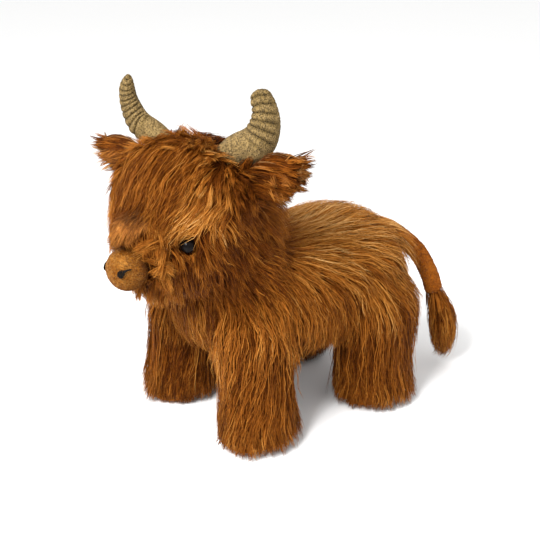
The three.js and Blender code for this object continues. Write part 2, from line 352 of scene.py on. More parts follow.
def makeNapMaterial(name, dark, light, scale, stretch, contrast=0.6):
    material, wiring, shader = newMaterial(
        name, Roughness=napFinish["roughness"], Specular_IOR_Level=napFinish["gloss"],
        Sheen_Weight=napFinish["sheen"], Sheen_Roughness=napFinish["sheenRoughness"]
    )
    nap = wiring.group(napGrain, Scale=scale, Stretch=stretch)
    tone = wiring.attribute("tone")
    speckle = wiring.math("MULTIPLY", wiring.math("SUBTRACT", nap["Mask"], 0.5), contrast)
    shadow = tuple(napFinish["shadow"] * part for part in dark)
    colour = wiring.ramp(wiring.math("ADD", speckle, tone), list(zip(napStops, (shadow, dark, light))))
    wiring.feed(shader["Base Color"], colour)
    wiring.feed(shader["Normal"], wiring.bump(nap["Height"], napFinish["bump"], napFinish["relief"]))
    return material


def makeMottled(name, scale, stops, **constants):
    # a plain finish whose colour drifts between two shades
    material, wiring, shader = newMaterial(name, **constants)
    wiring.feed(shader["Base Color"], wiring.ramp(wiring.noise(wiring.place(), scale), stops))
    return material


coatMaterial = makeFurMaterial("combed_coat", 0.55, 0.5)
skinMaterial = makeFurMaterial("backing_cloth", 0.85, 0.0)
muzzleMaterial = makeNapMaterial("muzzle_plush", (0.165, 0.050, 0.003), (0.350, 0.160, 0.032), 900.0, 0.25)
tailMaterial = makeNapMaterial("tail_plush", (0.20, 0.050, 0.003), (0.48, 0.15, 0.012), 1300.0, 0.6)
soleMaterial = makeNapMaterial("sole_plush", (0.20, 0.050, 0.003), (0.42, 0.14, 0.012), 1200.0, 0.6)
hornMaterial = makeNapMaterial("horn_chenille", (0.150, 0.098, 0.034), (0.405, 0.276, 0.118), 1500.0, 0.8,
                               contrast=0.2)
print("materials made")

# ---- mesh builders


def link(mesh, name, material):
    thing = addObject(name, mesh)
    mesh.name = name
    mesh.materials.clear()
    mesh.materials.append(material)
    return thing


def give(mesh, name, values):
    layer = mesh.attributes.new(name, "FLOAT", "POINT")
    values = np.broadcast_to(np.asarray(values, np.float32).ravel(), len(mesh.vertices))
    layer.data.foreach_set("value", np.ascontiguousarray(values))


def readRows(items, key, width, kind=np.float32):
    values = np.empty(len(items) * width, kind)
    items.foreach_get(key, values)
    return values.reshape(-1, width)


def readPoints(mesh):
    return readRows(mesh.vertices, "co", 3).astype(float)


def readNormals(mesh):
    return readRows(mesh.vertex_normals, "vector", 3).astype(float)


def movePoints(mesh, points):
    mesh.vertices.foreach_set("co", points.astype(np.float32).ravel())
    mesh.update()


def meshFrom(vertices, quads, triangles, uv=None):
    # quads and triangles are rows of vertex numbers; uv holds one pair for each vertex
    corners = np.concatenate([np.asarray(quads, np.int32).ravel(), np.asarray(triangles, np.int32).ravel()])
    starts = np.concatenate([np.arange(len(quads)) * 4, len(quads) * 4 + np.arange(len(triangles)) * 3])
    mesh = bpy.data.meshes.new("shape")
    mesh.vertices.add(len(vertices))
    mesh.vertices.foreach_set("co", np.asarray(vertices, np.float32).ravel())
    mesh.loops.add(len(corners))
    mesh.loops.foreach_set("vertex_index", corners)
    mesh.polygons.add(len(starts))
    mesh.polygons.foreach_set("loop_start", starts.astype(np.int32))
    mesh.update(calc_edges=True)
    mesh.shade_smooth()
    if uv is not None:
        layer = mesh.uv_layers.new(name="OFBake")
        layer.data.foreach_set("uv", np.asarray(uv, np.float32)[corners].ravel())
    return mesh


patchSide = 0.003  # the share of the colour map that one lock takes


def lockMesh(centre, above, halfWidth, ridge, rootUv, tone, frost):
    # closed three-sided locks: centre is (locks, stations, 3), and the last station is the pointed tip
    locks, stations, _ = centre.shape
    rings = stations - 1
    forward = unit(np.gradient(centre, axis=1))
    across = unit(np.cross(above, forward))
    over = np.cross(forward, across)
    wide = across[:, :rings] * halfWidth[:, :rings, None]
    middle = centre[:, :rings]
    crest = middle + over[:, :rings] * (halfWidth[:, :rings, None] * ridge)
    body = np.stack([middle - wide, middle + wide, crest], axis=2)
    vertices = np.concatenate([body.reshape(locks, rings * 3, 3), centre[:, -1:]], axis=1)
    perLock = rings * 3 + 1
    offsets = (np.arange(locks) * perLock)[:, None, None]
    ring = np.arange(rings - 1)[:, None] * 3
    walls = np.array([[0, 1], [1, 2], [2, 0]])
    start, end = ring + walls[:, 0], ring + walls[:, 1]
    quads = np.stack([start, end, end + 3, start + 3], axis=-1).reshape(-1, 4)
    last = (rings - 1) * 3
    triangles = np.array([[0, 2, 1]] + [[last + a, last + b, perLock - 1] for a, b in walls])
    edge = np.append(np.tile([-1.0, 1.0, 0.0], rings), 0.0)
    along = np.append(np.repeat(np.arange(rings) / rings, 3), 1.0)
    uv = rootUv[:, None, :] + np.stack([edge / 2, along - 0.5], axis=-1)[None] * patchSide
    mesh = meshFrom(
        vertices.reshape(-1, 3),
        (quads[None] + offsets).reshape(-1, 4),
        (triangles[None] + offsets).reshape(-1, 3),
        uv.reshape(-1, 2),
    )
    give(mesh, "tone", np.concatenate([np.repeat(tone[:, :rings], 3, axis=1), tone[:, -1:]], axis=1))
    give(mesh, "frost", np.repeat(frost, perLock))
    give(mesh, "across", np.tile(edge, locks))
    return mesh


# ---- the skin

fleshNodes = ["head", "neck", "trunk", "leg_front_left", "leg_front_right", "leg_hind_left", "leg_hind_right",
              "ear_left", "ear_right", "tail_tuft"]
regionNames = np.array([name.split("_")[0] for name in fleshNodes])
skinSetup = {
    "voxel": 2.6 * mm,
    "weld": 0.01 * mm,
    "grow": 0.5 * mm,  # closes the cutting gaps before the pieces are fused
    "rounding": 6,
    # how deep the cloth lies under the coat's outside
    "depth": {
        "head": 6.5 * mm, "neck": 8 * mm, "trunk": 8.5 * mm, "leg": 7 * mm, "ear": 1.8 * mm, "tail": 5.5 * mm
    },
    "depthRounding": 6,
    "insideRounding": 3,
    "hemDepth": 5.0 * mm,
    "hem": (8 * mm, 42 * mm),  # the heights over which the feet's depth gives way to the legs'
}
ears = {
    # the skin stops short of the tip, which two long locks make
    "left": {"root": (48, 6, 29), "tip": (109, 5, 45)},
    "right": {"root": (-48, 6, 29), "tip": (-107, 5, 40)},
    "short": 13,
    "shortFrom": 0.55,
    "fork": 6.5,
    "forkShares": (0.3, 0.75),
    "beyond": 3,
    "splay": 45,
    "splayMost": 0.5,
    # no hair of the leaf goes further out than this, and less far below the height of the lower point
    "longest": 107,
    "shortest": 5 * mm,
    "lowerPoint": 42,
    "slant": 0.9,
    "freeFrom": 87,  # hair past this distance from the head's middle keeps straight on
    "calm": 0.15,  # how much the ear's hair strays and waves against the rest
    "clump": 0.85,
}
# the stuffed mound over the muzzle; the head's own pile ends where it meets it, at its size times the tuck
mound = {"place": (3.5, -66, -1), "half": (18, 13, 12.5), "tuck": 1.08, "stub": 2, "depth": 3.6 * mm,
         "depthReach": 1.12}
unwrapping = {"angle": math.radians(66), "margin": 0.006}


def perRegion(table, owner):
    return np.array([table.get(name, 0) for name in regionNames])[owner]


def onMound(points, share):
    local = toHead(points) / mm - mound["place"]
    return np.linalg.norm(local / mound["half"], axis=-1) < share


def alongEar(points, side):
    # how far along the ear each point lies, its height over the ear's middle, and the ear's two directions
    root, tip = (np.array(ears[side][end], float) for end in ("root", "tip"))
    axis = unit(tip - root)
    upward = unit(np.array([0, 0, 1.0]) - axis * axis[2])
    local = toHead(points) / mm - root
    return local @ axis / np.linalg.norm(tip - root), local @ upward, axis, upward


def fleshSolids():
    # the stuffed pieces a little swollen, and the mound, as one heap of faces with the owner of each
    vertices, faces, owners = [], [], []

    def take(solid, number, placed):
        base = len(vertices)
        vertices.extend(placed(v) for v in solid.verts)
        faces.extend([base + v.index for v in face.verts] for face in solid.faces)
        owners.extend([number] * len(solid.faces))
        solid.free()

    for number, name in enumerate(fleshNodes):
        solid = bmesh.new()
        solid.from_mesh(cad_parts[name].data)
        bmesh.ops.remove_doubles(solid, verts=solid.verts, dist=skinSetup["weld"])
        solid.normal_update()
        take(solid, number, lambda v: v.co + v.normal * skinSetup["grow"])
    ball = bmesh.new()
    bmesh.ops.create_icosphere(ball, subdivisions=4, radius=1)
    middle, half = mound["place"], mound["half"]
    take(ball, fleshNodes.index("head"), lambda v: Vector(onHead(np.array(v.co) * half + middle)))
    return vertices, faces, np.array(owners)


def remeshed(vertices, faces, voxel):
    mesh = bpy.data.meshes.new("joined")
    mesh.from_pydata(vertices, [], faces)
    thing = addObject("joined", mesh)
    modifier = thing.modifiers.new("fuse", "REMESH")
    modifier.mode = "VOXEL"
    modifier.voxel_size = voxel
    graph = bpy.context.evaluated_depsgraph_get()
    fused = bpy.data.meshes.new_from_object(thing.evaluated_get(graph))
    bpy.data.objects.remove(thing)
    bpy.data.meshes.remove(mesh)
    return fused


def relax(values, edges, rounds):
    # each value moves halfway to the average of its neighbours
    counts = np.bincount(edges.ravel(), minlength=len(values)).astype(float)
    shape = (-1,) + (1,) * (values.ndim - 1)
    for _ in range(rounds):
        total = np.zeros_like(values)
        np.add.at(total, edges[:, 0], values[edges[:, 1]])
        np.add.at(total, edges[:, 1], values[edges[:, 0]])
        values = mix(values, total / np.maximum(counts, 1).reshape(shape), 0.5)
    return values


def makeSkin():
    vertices, faces, owners = fleshSolids()
    nearestFlesh = BVHTree.FromPolygons(vertices, faces)
    mesh = remeshed(vertices, faces, skinSetup["voxel"])
    edges = readRows(mesh.edges, "vertices", 2, np.int32)
    points = relax(readPoints(mesh), edges, skinSetup["rounding"])
    owner = np.array([owners[nearestFlesh.find_nearest(Vector(p))[2]] for p in points])
    movePoints(mesh, points)
    depths = perRegion(skinSetup["depth"], owner)
    hemmed = mix(skinSetup["hemDepth"], depths, smooth(points[:, 2], *skinSetup["hem"]))
    depths = np.where(regionNames[owner] == "leg", hemmed, depths)
    depths = np.where(onMound(points, mound["depthReach"]), mound["depth"], depths)
    depths = relax(depths, edges, skinSetup["depthRounding"])
    inside = relax(points - readNormals(mesh) * depths[:, None], edges, skinSetup["insideRounding"])
    for side in sides:
        chosen = owner == fleshNodes.index(f"ear_{side}")
        along, _, axis, _ = alongEar(inside[chosen], side)
        back = smooth(along, ears["shortFrom"], 1.0)[:, None] * ears["short"] * mm
        inside[chosen] -= turnFromHead(axis[None]) * back
    movePoints(mesh, inside)
    mesh.shade_smooth()
    return link(mesh, "skin", skinMaterial), owner, depths


def unwrap(thing):
    bpy.context.view_layer.objects.active = thing
    thing.select_set(True)
    thing.data.uv_layers.new(name="OFBake")
    bpy.ops.object.mode_set(mode="EDIT")
    bpy.ops.mesh.select_all(action="SELECT")
    bpy.ops.uv.smart_project(angle_limit=unwrapping["angle"], island_margin=unwrapping["margin"])
    bpy.ops.object.mode_set(mode="OBJECT")
    thing.select_set(False)


class Surface:
    # a mesh as arrays: places to root hairs on, and the nearest place to a free point
    def __init__(self, thing, owner, depth):
        mesh = thing.data
        mesh.calc_loop_triangles()
        self.points = readPoints(mesh)
        self.normals = readNormals(mesh)
        self.owner = owner
        self.depth = depth
        self.corners = readRows(mesh.loop_triangles, "vertices", 3, np.int32)
        loops = readRows(mesh.loop_triangles, "loops", 3, np.int32)
        self.uv = readRows(mesh.uv_layers["OFBake"].data, "uv", 2)[loops]
        a, b, c = (self.points[self.corners[:, k]] for k in range(3))
        self.area = np.linalg.norm(np.cross(b - a, c - a), axis=1) / 2
        self.middle = (a + b + c) / 3
        self.tree = BVHTree.FromPolygons(self.points.tolist(), self.corners.tolist())

    def scatter(self, count, weight, rng):
        # count random places; each triangle is drawn by its area times its weight
        chance = self.area * weight
        chosen = rng.choice(len(chance), size=count, p=chance / chance.sum())
        share = np.sqrt(rng.random(count))
        other = rng.random(count)
        mixing = np.stack([1 - share, share * (1 - other), share * other], axis=1)
        corner = self.corners[chosen]
        points = (self.points[corner] * mixing[:, :, None]).sum(axis=1)
        normals = unit((self.normals[corner] * mixing[:, :, None]).sum(axis=1))
        uv = (self.uv[chosen] * mixing[:, :, None]).sum(axis=1)
        depth = (self.depth[corner] * mixing).sum(axis=1)
        return points, normals, uv, self.owner[corner[:, 0]], depth

    def nearest(self, points):
        found = [self.tree.find_nearest(Vector(p)) for p in points]
        corner = self.corners[np.array([f[2] for f in found])]
        place = np.array([f[0] for f in found])
        return place, unit(self.normals[corner].sum(axis=1)), self.owner[corner[:, 0]]


skin, skinOwner, skinDepth = makeSkin()
unwrap(skin)
surface = Surface(skin, skinOwner, skinDepth)
print("skin made:", len(skin.data.polygons), "faces")

# ---- the lie of the coat

# Head: where (on the left side), which way the pile lies, and its length in mm.
headComb = [
    ((6, -8, 60), (0, -1, -0.2), 40),  # poll
    ((14, -22, 55), (-0.05, -0.9, -0.4), 44),
    ((0, 30, 50), (0, 1, -0.6), 30),  # back of the poll
    ((0, -44, 44), (0, -0.6, -0.8), 40),  # forehead
    ((26, -35, 45), (-0.2, -0.7, -0.7), 44),
    ((4, -58, 26), (0, -0.4, -0.9), 28),
    ((36, -15, 49), (-0.1, -0.9, -0.45), 42),  # below the horn
    ((48, -8, 38), (-0.15, -0.9, -0.4), 42),
    ((43, -37, 26), (-0.4, -0.65, -0.65), 34),  # side of the forehead
    ((51, -25, 24), (-0.45, -0.75, -0.5), 34),
    ((56, -8, 25), (-0.25, -0.9, -0.35), 40),  # temple
    ((55, -24, 15), (-0.5, -0.8, -0.3), 25),
    ((44, -44, 8), (-0.6, -0.7, -0.4), 26),  # brow
    ((30, -57, 4), (-0.7, -0.6, -0.4), 18),
    ((16, -62, 14), (-0.4, -0.4, -0.8), 20),
    ((6, -66, 8), (0.35, -0.4, -0.85), 15),  # nose bridge
    ((18, -64, -4), (0.7, -0.2, -0.75), 14),
    ((0, -66, 12), (0, -0.95, -0.3), 17),  # over the mound
    ((0, -76, 6), (0, -0.5, -0.85), 16),
    ((0, -80, -2), (0, -0.1, -1), 10),
    ((11, -72, 2), (0.35, -0.25, -0.9), 14),
    ((10, -72, -8), (0.5, -0.2, -0.8), 7),
    ((56, -16, 4), (0.12, 0.75, -0.6), 26),  # below the parting that runs from the ear to the eye
    ((54, -29, 1), (0.15, 0.75, -0.65), 26),
    ((47, -39, -6), (0.15, 0.7, -0.7), 22),  # outer corner of the eye
    ((43, -46, -15), (-0.05, 0.45, -0.9), 22),
    ((36, -52, -20), (-0.2, 0.2, -0.95), 20),  # under the eye
    ((28, -60, -14), (-0.25, -0.05, -1), 16),
    ((24, -58, -30), (-0.1, 0.1, -1), 18),
    ((52, -20, -18), (0.1, 0.75, -0.65), 30),  # cheek
    ((40, -34, -38), (0, 0.5, -0.9), 28),
    ((58, 8, -8), (0, 0.8, -0.6), 32),  # jaw
    ((52, 18, 18), (0, 0.85, -0.6), 32),  # behind the ear
    ((0, -52, -42), (0, 0.1, -1), 20),  # chin
    ((0, -10, -60), (0, 0.4, -1), 26),  # throat
    ((0, 55, -10), (0, 0.3, -1), 30),  # nape
]
combBlend = {"least": 4 * mm, "power": 2.5}  # how sharply one row of the comb gives way to the next
bodyComb = {
    "backAngle": math.radians(6),  # below level, along the spine
    "bellyAngle": math.radians(86),
    "heights": (74 * mm, 152 * mm),  # from the belly to the spine
    "shoulderTurn": math.radians(28),  # the shoulder and chest hang more
    "shoulder": (-5 * mm, -75 * mm),
    "lessAbove": 0.5,
    "rumpAngle": math.radians(70),
    "rumpFacing": (0.3, 0.95),
    "wander": math.radians(13),
    "wanderScale": 26 * mm,
    "sway": 0.12,
    "length": {"trunk": 46 * mm, "neck": 42 * mm, "leg": 50 * mm, "tail": 34 * mm, "ear": 30 * mm},
}
tuftRoute = [[37, 142, 84], [44, 148, 62], [47, 153, 38], [47, 155, 15]]  # on the body


def mirroredComb():
    rows = [
        (np.array(place) * [sign, 1, 1] * mm, np.array(way) * [sign, 1, 1], length * mm)
        for place, way, length in headComb
        for sign in ((1, -1) if place[0] or way[0] else (1,))
    ]
    places, ways, lengths = (np.array(column, float) for column in zip(*rows))
    return places, unit(ways), lengths


combPlaces, combWays, combLengths = mirroredComb()


def combHead(points):
    weight = 1 / (squaredGaps(toHead(points), combPlaces) + combBlend["least"] ** 2) ** combBlend["power"]
    weight /= weight.sum(axis=1, keepdims=True)
    return turnFromHead(weight @ combWays), weight @ combLengths


def combBody(points, normals):
    high = smooth(points[:, 2], *bodyComb["heights"])
    angle = mix(bodyComb["bellyAngle"], bodyComb["backAngle"], high)
    forward = smooth(points[:, 1], *bodyComb["shoulder"])
    angle = angle + bodyComb["shoulderTurn"] * forward * (1 - high * bodyComb["lessAbove"])
    angle = angle + ripple(points, bodyComb["wanderScale"], 3) * bodyComb["wander"]
    angle = mix(angle, bodyComb["rumpAngle"], smooth(normals[:, 1], *bodyComb["rumpFacing"]))
    sway = ripple(points, bodyComb["wanderScale"], 4) * bodyComb["sway"]
    return np.stack([sway, np.cos(angle), -np.sin(angle)], axis=1)


def combEar(points, side):
    # outward along the leaf, then towards the nearer of its two points
    along, height, axis, upward = alongEar(points, side)
    tip = np.array(ears[side]["tip"], float)
    goal = tip + axis * ears["beyond"] + upward * np.where(height > 0, ears["fork"], -ears["fork"])[:, None]
    most = ears["splayMost"]
    outward = axis + upward * np.clip(height / ears["splay"], -most, most)[:, None]
    share = smooth(along, *ears["forkShares"])[:, None]
    return turnFromHead(mix(outward, unit(goal - toHead(points) / mm), share))


def combTail(points):
    return alongRoute(bodyOrigin + curveAt(tuftRoute, np.linspace(0, 1, routeSteps)) * mm)(points)


def combed(points, normals, owner):
    # the way and the length of the pile at each point
    ways, length = np.zeros_like(points), perRegion(bodyComb["length"], owner)
    region = regionNames[owner]
    head, tail, body = region == "head", region == "tail", np.isin(region, ("neck", "trunk", "leg"))
    ways[head], length[head] = combHead(points[head])
    ways[tail] = combTail(points[tail])
    ways[body] = combBody(points[body], normals[body])
    for side in sides:
        ear = owner == fleshNodes.index(f"ear_{side}")
        ways[ear] = combEar(points[ear], side)
    return flatten(ways, normals), length


# ---- markings, painted shade and painted light: the tone runs from 0, in deep shadow, to 1, at bleached tips

coatTones = {
    "base": {"head": 0.25, "neck": 0.42, "trunk": 0.42, "leg": 0.26, "ear": 0.20, "tail": 0.42},
    # the top of the back is lighter where it faces up: partly the coat's own paler back, partly painted light
    # from above
    "spineLift": 0.27,
    "spineFacing": (0.25, 0.9),
    "spineHeights": (105 * mm, 145 * mm),
    "earEdge": 0.22,
    "earEdgeFrost": 0.3,
    "earFacing": (0.2, 0.75),
    "clumpSpread": 0.10,
    "lockSpread": 0.085,
    "least": 0.06,
    "atRoot": -0.16,
    "atTip": 0.11,
    "legShade": 0.10,  # painted shade on the inner side of each leg, which faces the other legs
    "legFacing": (0.2, 0.9),
    "hemLift": 0.14,
    "hemHeights": (14 * mm, 46 * mm),
    "patchScale": 16 * mm,
    "patchShare": 0.05,
    "core": 0.35,  # the share of a shade's reach where it is at its full strength
    "cloth": -0.34,  # painted shade: the cloth under the locks is darker, as the shadow between them, with less of the frost
    "clothFrost": 0.5,
}
faceShades = [
    # where on the head (the right side is the same as the left), how far it reaches, and the change of tone
    ((0, -50, 30), 20, -0.06),  # hollow of the forehead
    ((7, -58, 19), 9, -0.20),  # painted shadow in the crease above the mound
    ((0, -60, 10), 12, 0.08),
    ((13, -65, -9), 6, -0.10),  # painted shade over the muzzle, under the mound's edge
    ((7, -73, 2), 22, 0.17),  # the mound
    ((34, -47, -9), 10, -0.24),  # painted shade round the eye
    ((50, -6, 26), 14, -0.10),  # in front of the ear
    ((45, -12, 48), 16, 0.14),  # below the horn
    ((46, -30, 22), 24, 0.30),  # temple
    ((26, -8, 50), 20, 0.12),  # painted light beside the horn, where the horn shades the poll
    ((24, -60, -12), 12, 0.10),  # beside the muzzle
    ((0, -52, -44), 18, 0.12),  # chin
    ((48, -20, -26), 26, -0.07),  # cheek
]
bodyShades = [
    # the same for places on the body, with no mirror image
    ((10, -112, 96), 44, 0.12),  # painted light on the chest, which lies in shade under the head
    ((62, -50, 100), 34, 0.06),  # shoulder
]
jawShadow = {
    # painted shadow under the jaw, from the neck back
    "on": {"neck": 1.0, "trunk": 0.5, "leg": 0.3},
    "change": -0.15,
    "reach": (58 * mm, 76 * mm),
    "below": 25 * mm,
}


def shaded(points, shades):
    # the change of tone that a list of shades makes at each point
    change = np.zeros(len(points))
    for place, reach, most in shades:
        gap = np.linalg.norm(points - np.array(place) * mm, axis=1)
        change = change + most * (1 - smooth(gap, reach * coatTones["core"] * mm, reach * mm))
    return change


def facingInward(points, normals, owner, span):
    # how far each point of a leg faces the other legs
    inward = -normals[:, 0] * np.sign(points[:, 0] - bodyOrigin[0])
    return smooth(inward, *span) * (regionNames[owner] == "leg")


def markingAndShade(points, normals, owner):
    # each lock takes the tone of its root, and the skin takes the same: the markings, with painted shade and
    # painted light laid into them
    region = regionNames[owner]
    body = (region == "trunk") | (region == "neck")
    height = points[:, 2]
    # the top of the back is lighter where it faces up, partly as painted light
    spine = smooth(normals[:, 2], *coatTones["spineFacing"]) * smooth(height, *coatTones["spineHeights"])
    tone = perRegion(coatTones["base"], owner) + coatTones["spineLift"] * (spine * body)
    local = toHead(points)
    mirrored = local * np.where(local[:, :1] < 0, [[-1, 1, 1]], [[1, 1, 1]])
    # the face's list holds painted shade round the eye and about the mound
    tone = tone + shaded(mirrored, faceShades) * (region == "head")
    # the body's list holds painted light on the chest
    tone = tone + shaded(points - bodyOrigin, bodyShades) * (region != "head")
    # painted shadow under the jaw
    below = smooth(-local[:, 2], 0, jawShadow["below"])
    near = 1 - smooth(np.linalg.norm(local, axis=1), *jawShadow["reach"])
    tone = tone + jawShadow["change"] * perRegion(jawShadow["on"], owner) * below * near
    # painted shade on the inner sides of the legs
    tone = tone - coatTones["legShade"] * facingInward(points, normals, owner, coatTones["legFacing"])
    tone = tone + coatTones["hemLift"] * (1 - smooth(height, *coatTones["hemHeights"])) * (region == "leg")
    edge = 1 - smooth(np.abs((normals @ headTurn)[:, 1]), *coatTones["earFacing"])
    edge = edge * (region == "ear")
    tone = tone + coatTones["earEdge"] * edge
    tone = tone + ripple(points, coatTones["patchScale"], 5) * coatTones["patchShare"]
    return tone, coatTones["earEdgeFrost"] * edge


skinTone, skinFrost = markingAndShade(surface.points, surface.normals, surface.owner)
# the skin's cloth is darkened below the locks' tone, as painted shade between the locks
give(skin.data, "tone", skinTone + coatTones["cloth"])
give(skin.data, "frost", skinFrost * coatTones["clothFrost"])
give(skin.data, "across", 0)

# ---- growing the coat

coat = {
    "stations": 9,  # of each path that the locks follow
    "sink": 1.0 * mm,
    "lift": math.radians(34),
    "rise": 2.2,  # how soon a path comes up to its own height over the skin
    "stiffness": 0.62,
    "droop": 0.20,
    "tuftSteps": 4,  # a tuft's droop is shared out over its stations, by this many
    "hug": 0.75,
    "rests": (0.62, 0.7),  # how much hair lies down on an upright side, and how that grows where it faces up
    "strayTurn": 0.10,
    "sparseUnder": 0.45,
    "underFacing": -0.5,
    "tries": 3,  # roots drawn for each path, before the ones too near another are left out
    "faceHair": 27 * mm,  # hair combed shorter than this is never drawn out longer
    "faceReach": 1.05,
    "innerFlat": 0.6,  # how much flatter the pile is between the legs
    "innerFacing": (0.2, 0.8),
    "floor": 0.6 * mm,
    "crowding": {"head": 1.6, "neck": 1.0, "trunk": 0.9, "leg": 1.0, "ear": 2.0, "tail": 1.6},
}
hem = {
    "locks": 50 * mm,  # below this height the locks hang to the floor
    "free": 24 * mm,  # and below this one they hang straight, clear of the cloth
    "clump": 1.0,
    "ragged": 0.2,
    "scale": 5 * mm,
    "flare": 0.6,  # how far they lean outward there
    "swing": 0.08,
    "outside": -0.2,  # what faces further in than this doesn't lean
    "clear": 1.0 * mm,
    "shortest": 5 * mm,
    "bare": (30 * mm, -0.3),  # no hair grows below this height where the skin faces further down than this
    "bellyLine": 54 * mm,  # the belly's locks end here
    "bellySlope": 1.15,
    "bellyShortest": 9 * mm,
}
lock = {
    # children of a path; a pair is the least and the most
    "spread": 0.2,
    "clumpPower": 1.3,
    "closing": (0.4, 1.25),
    "mostClosed": 0.95,
    "reach": (0.7, 1.0),
    "hemReach": (0.85, 1.0),
    "waveLength": 28 * mm,
    "waveHeight": 2.0 * mm,
    "waves": (0.4, 1.4),
    "wavePhase": 0.6,
    "fullWave": 30 * mm,  # locks shorter than this wave less
    "bob": (1.3, 0.35),  # the wave off the skin, as shares of the sideways one's turns and height
    "drift": 0.075,  # how far a lock strays sideways, as a share of its length
    "driftPower": 1.5,
    "clear": 0.3 * mm,
    "bulge": 1.04,
    "widths": (0.65, 1.35),
    "halfWidth": {
        "head": 0.29 * mm, "neck": 0.37 * mm, "trunk": 0.37 * mm, "leg": 0.35 * mm, "ear": 0.30 * mm,
        "tail": 0.36 * mm
    },
    "ridge": 0.42,
    "roll": 0.25,
}
layers = [
    # stand: least and most of the coat's depth that a group of locks fills; reach: share of the combed length
    # the under layer's tone is lower: painted shade deep in the coat
    {"name": "under", "pieces": 4, "locks": 36000, "paths": 8000, "gap": 3.4 * mm, "reach": (0.6, 0.95),
     "stand": (0.25, 0.85), "profile": [0.75, 1.0, 0.75, 0.0], "width": 1.1, "clump": 0.5, "tone": -0.07,
     "wave": 0.8},
    {"name": "over", "pieces": 4, "locks": 20500, "paths": 5200, "gap": 4.0 * mm, "reach": (1.1, 1.6),
     "stand": (0.7, 1.0), "profile": [0.5, 0.95, 1.0, 0.9, 0.6, 0.0], "width": 0.85, "clump": 0.55,
     "tone": 0.09, "wave": 1.2},
]
muzzle = {"place": (0, -73, -24), "half": (15.8, 15.6, 15.6)}
horn = {
    # girth is the section against the root's; tip is the share of the length that its end is rounded over
    "left": {
        "route": [[15, 9.5, 26], [37, 9, 46], [54, 9, 54.5], [62, 8.5, 67], [63.5, 7, 80], [59.5, 5, 92.5]],
        "girth": [(0, 1.02), (0.4, 1.12), (0.6, 0.93), (0.8, 0.73), (1, 0.57)],
        "tip": 0.08, "ribs": 12, "askew": -0.035, "ribsFrom": 0.40,
    },
    "right": {
        "route": [[15, 9, 27], [37, 8, 48.5], [55, 8, 58], [63, 7.5, 71], [64, 6, 83], [60, 4.5, 95]],
        "girth": [(0, 1), (0.4, 0.98), (0.7, 0.69), (1, 0.48)],
        "tip": 0.2, "ribs": 15, "askew": 0.045, "ribsFrom": 0.25,
    },
    "across": 12.0,
    "along": 9.6,
    "sectionTurn": math.radians(35),
    "rings": 190,
    "facets": 44,
    "girthRounding": 12,
    "tipDome": 0.3,
    "ribDepth": 0.14,
    "ribSharpness": 0.6,
    "ribsFadeOver": 0.12,
    "ribbedSide": (0.1, -1.0, 0.1),  # the outer edge is a plain strip
    "ribbedFacing": (-0.35, 0.25),
    "hiddenShare": 0.35,  # the part of it inside the head, where no hair grows
    "bare": 0.85,  # how much of its thickness keeps hair off
    "clothTone": (0.48, -0.5),  # the cloth's tone, and the painted shade that darkens it in a crease
    # the pile's tone, and the painted shade that darkens it in a crease
    "pileTone": (0.58, -0.5),
    "endTone": 0.45,
    "pile": {"count": 7000, "length": 1.9 * mm, "width": 0.4 * mm, "lift": 0.45, "spread": 0.1},
}

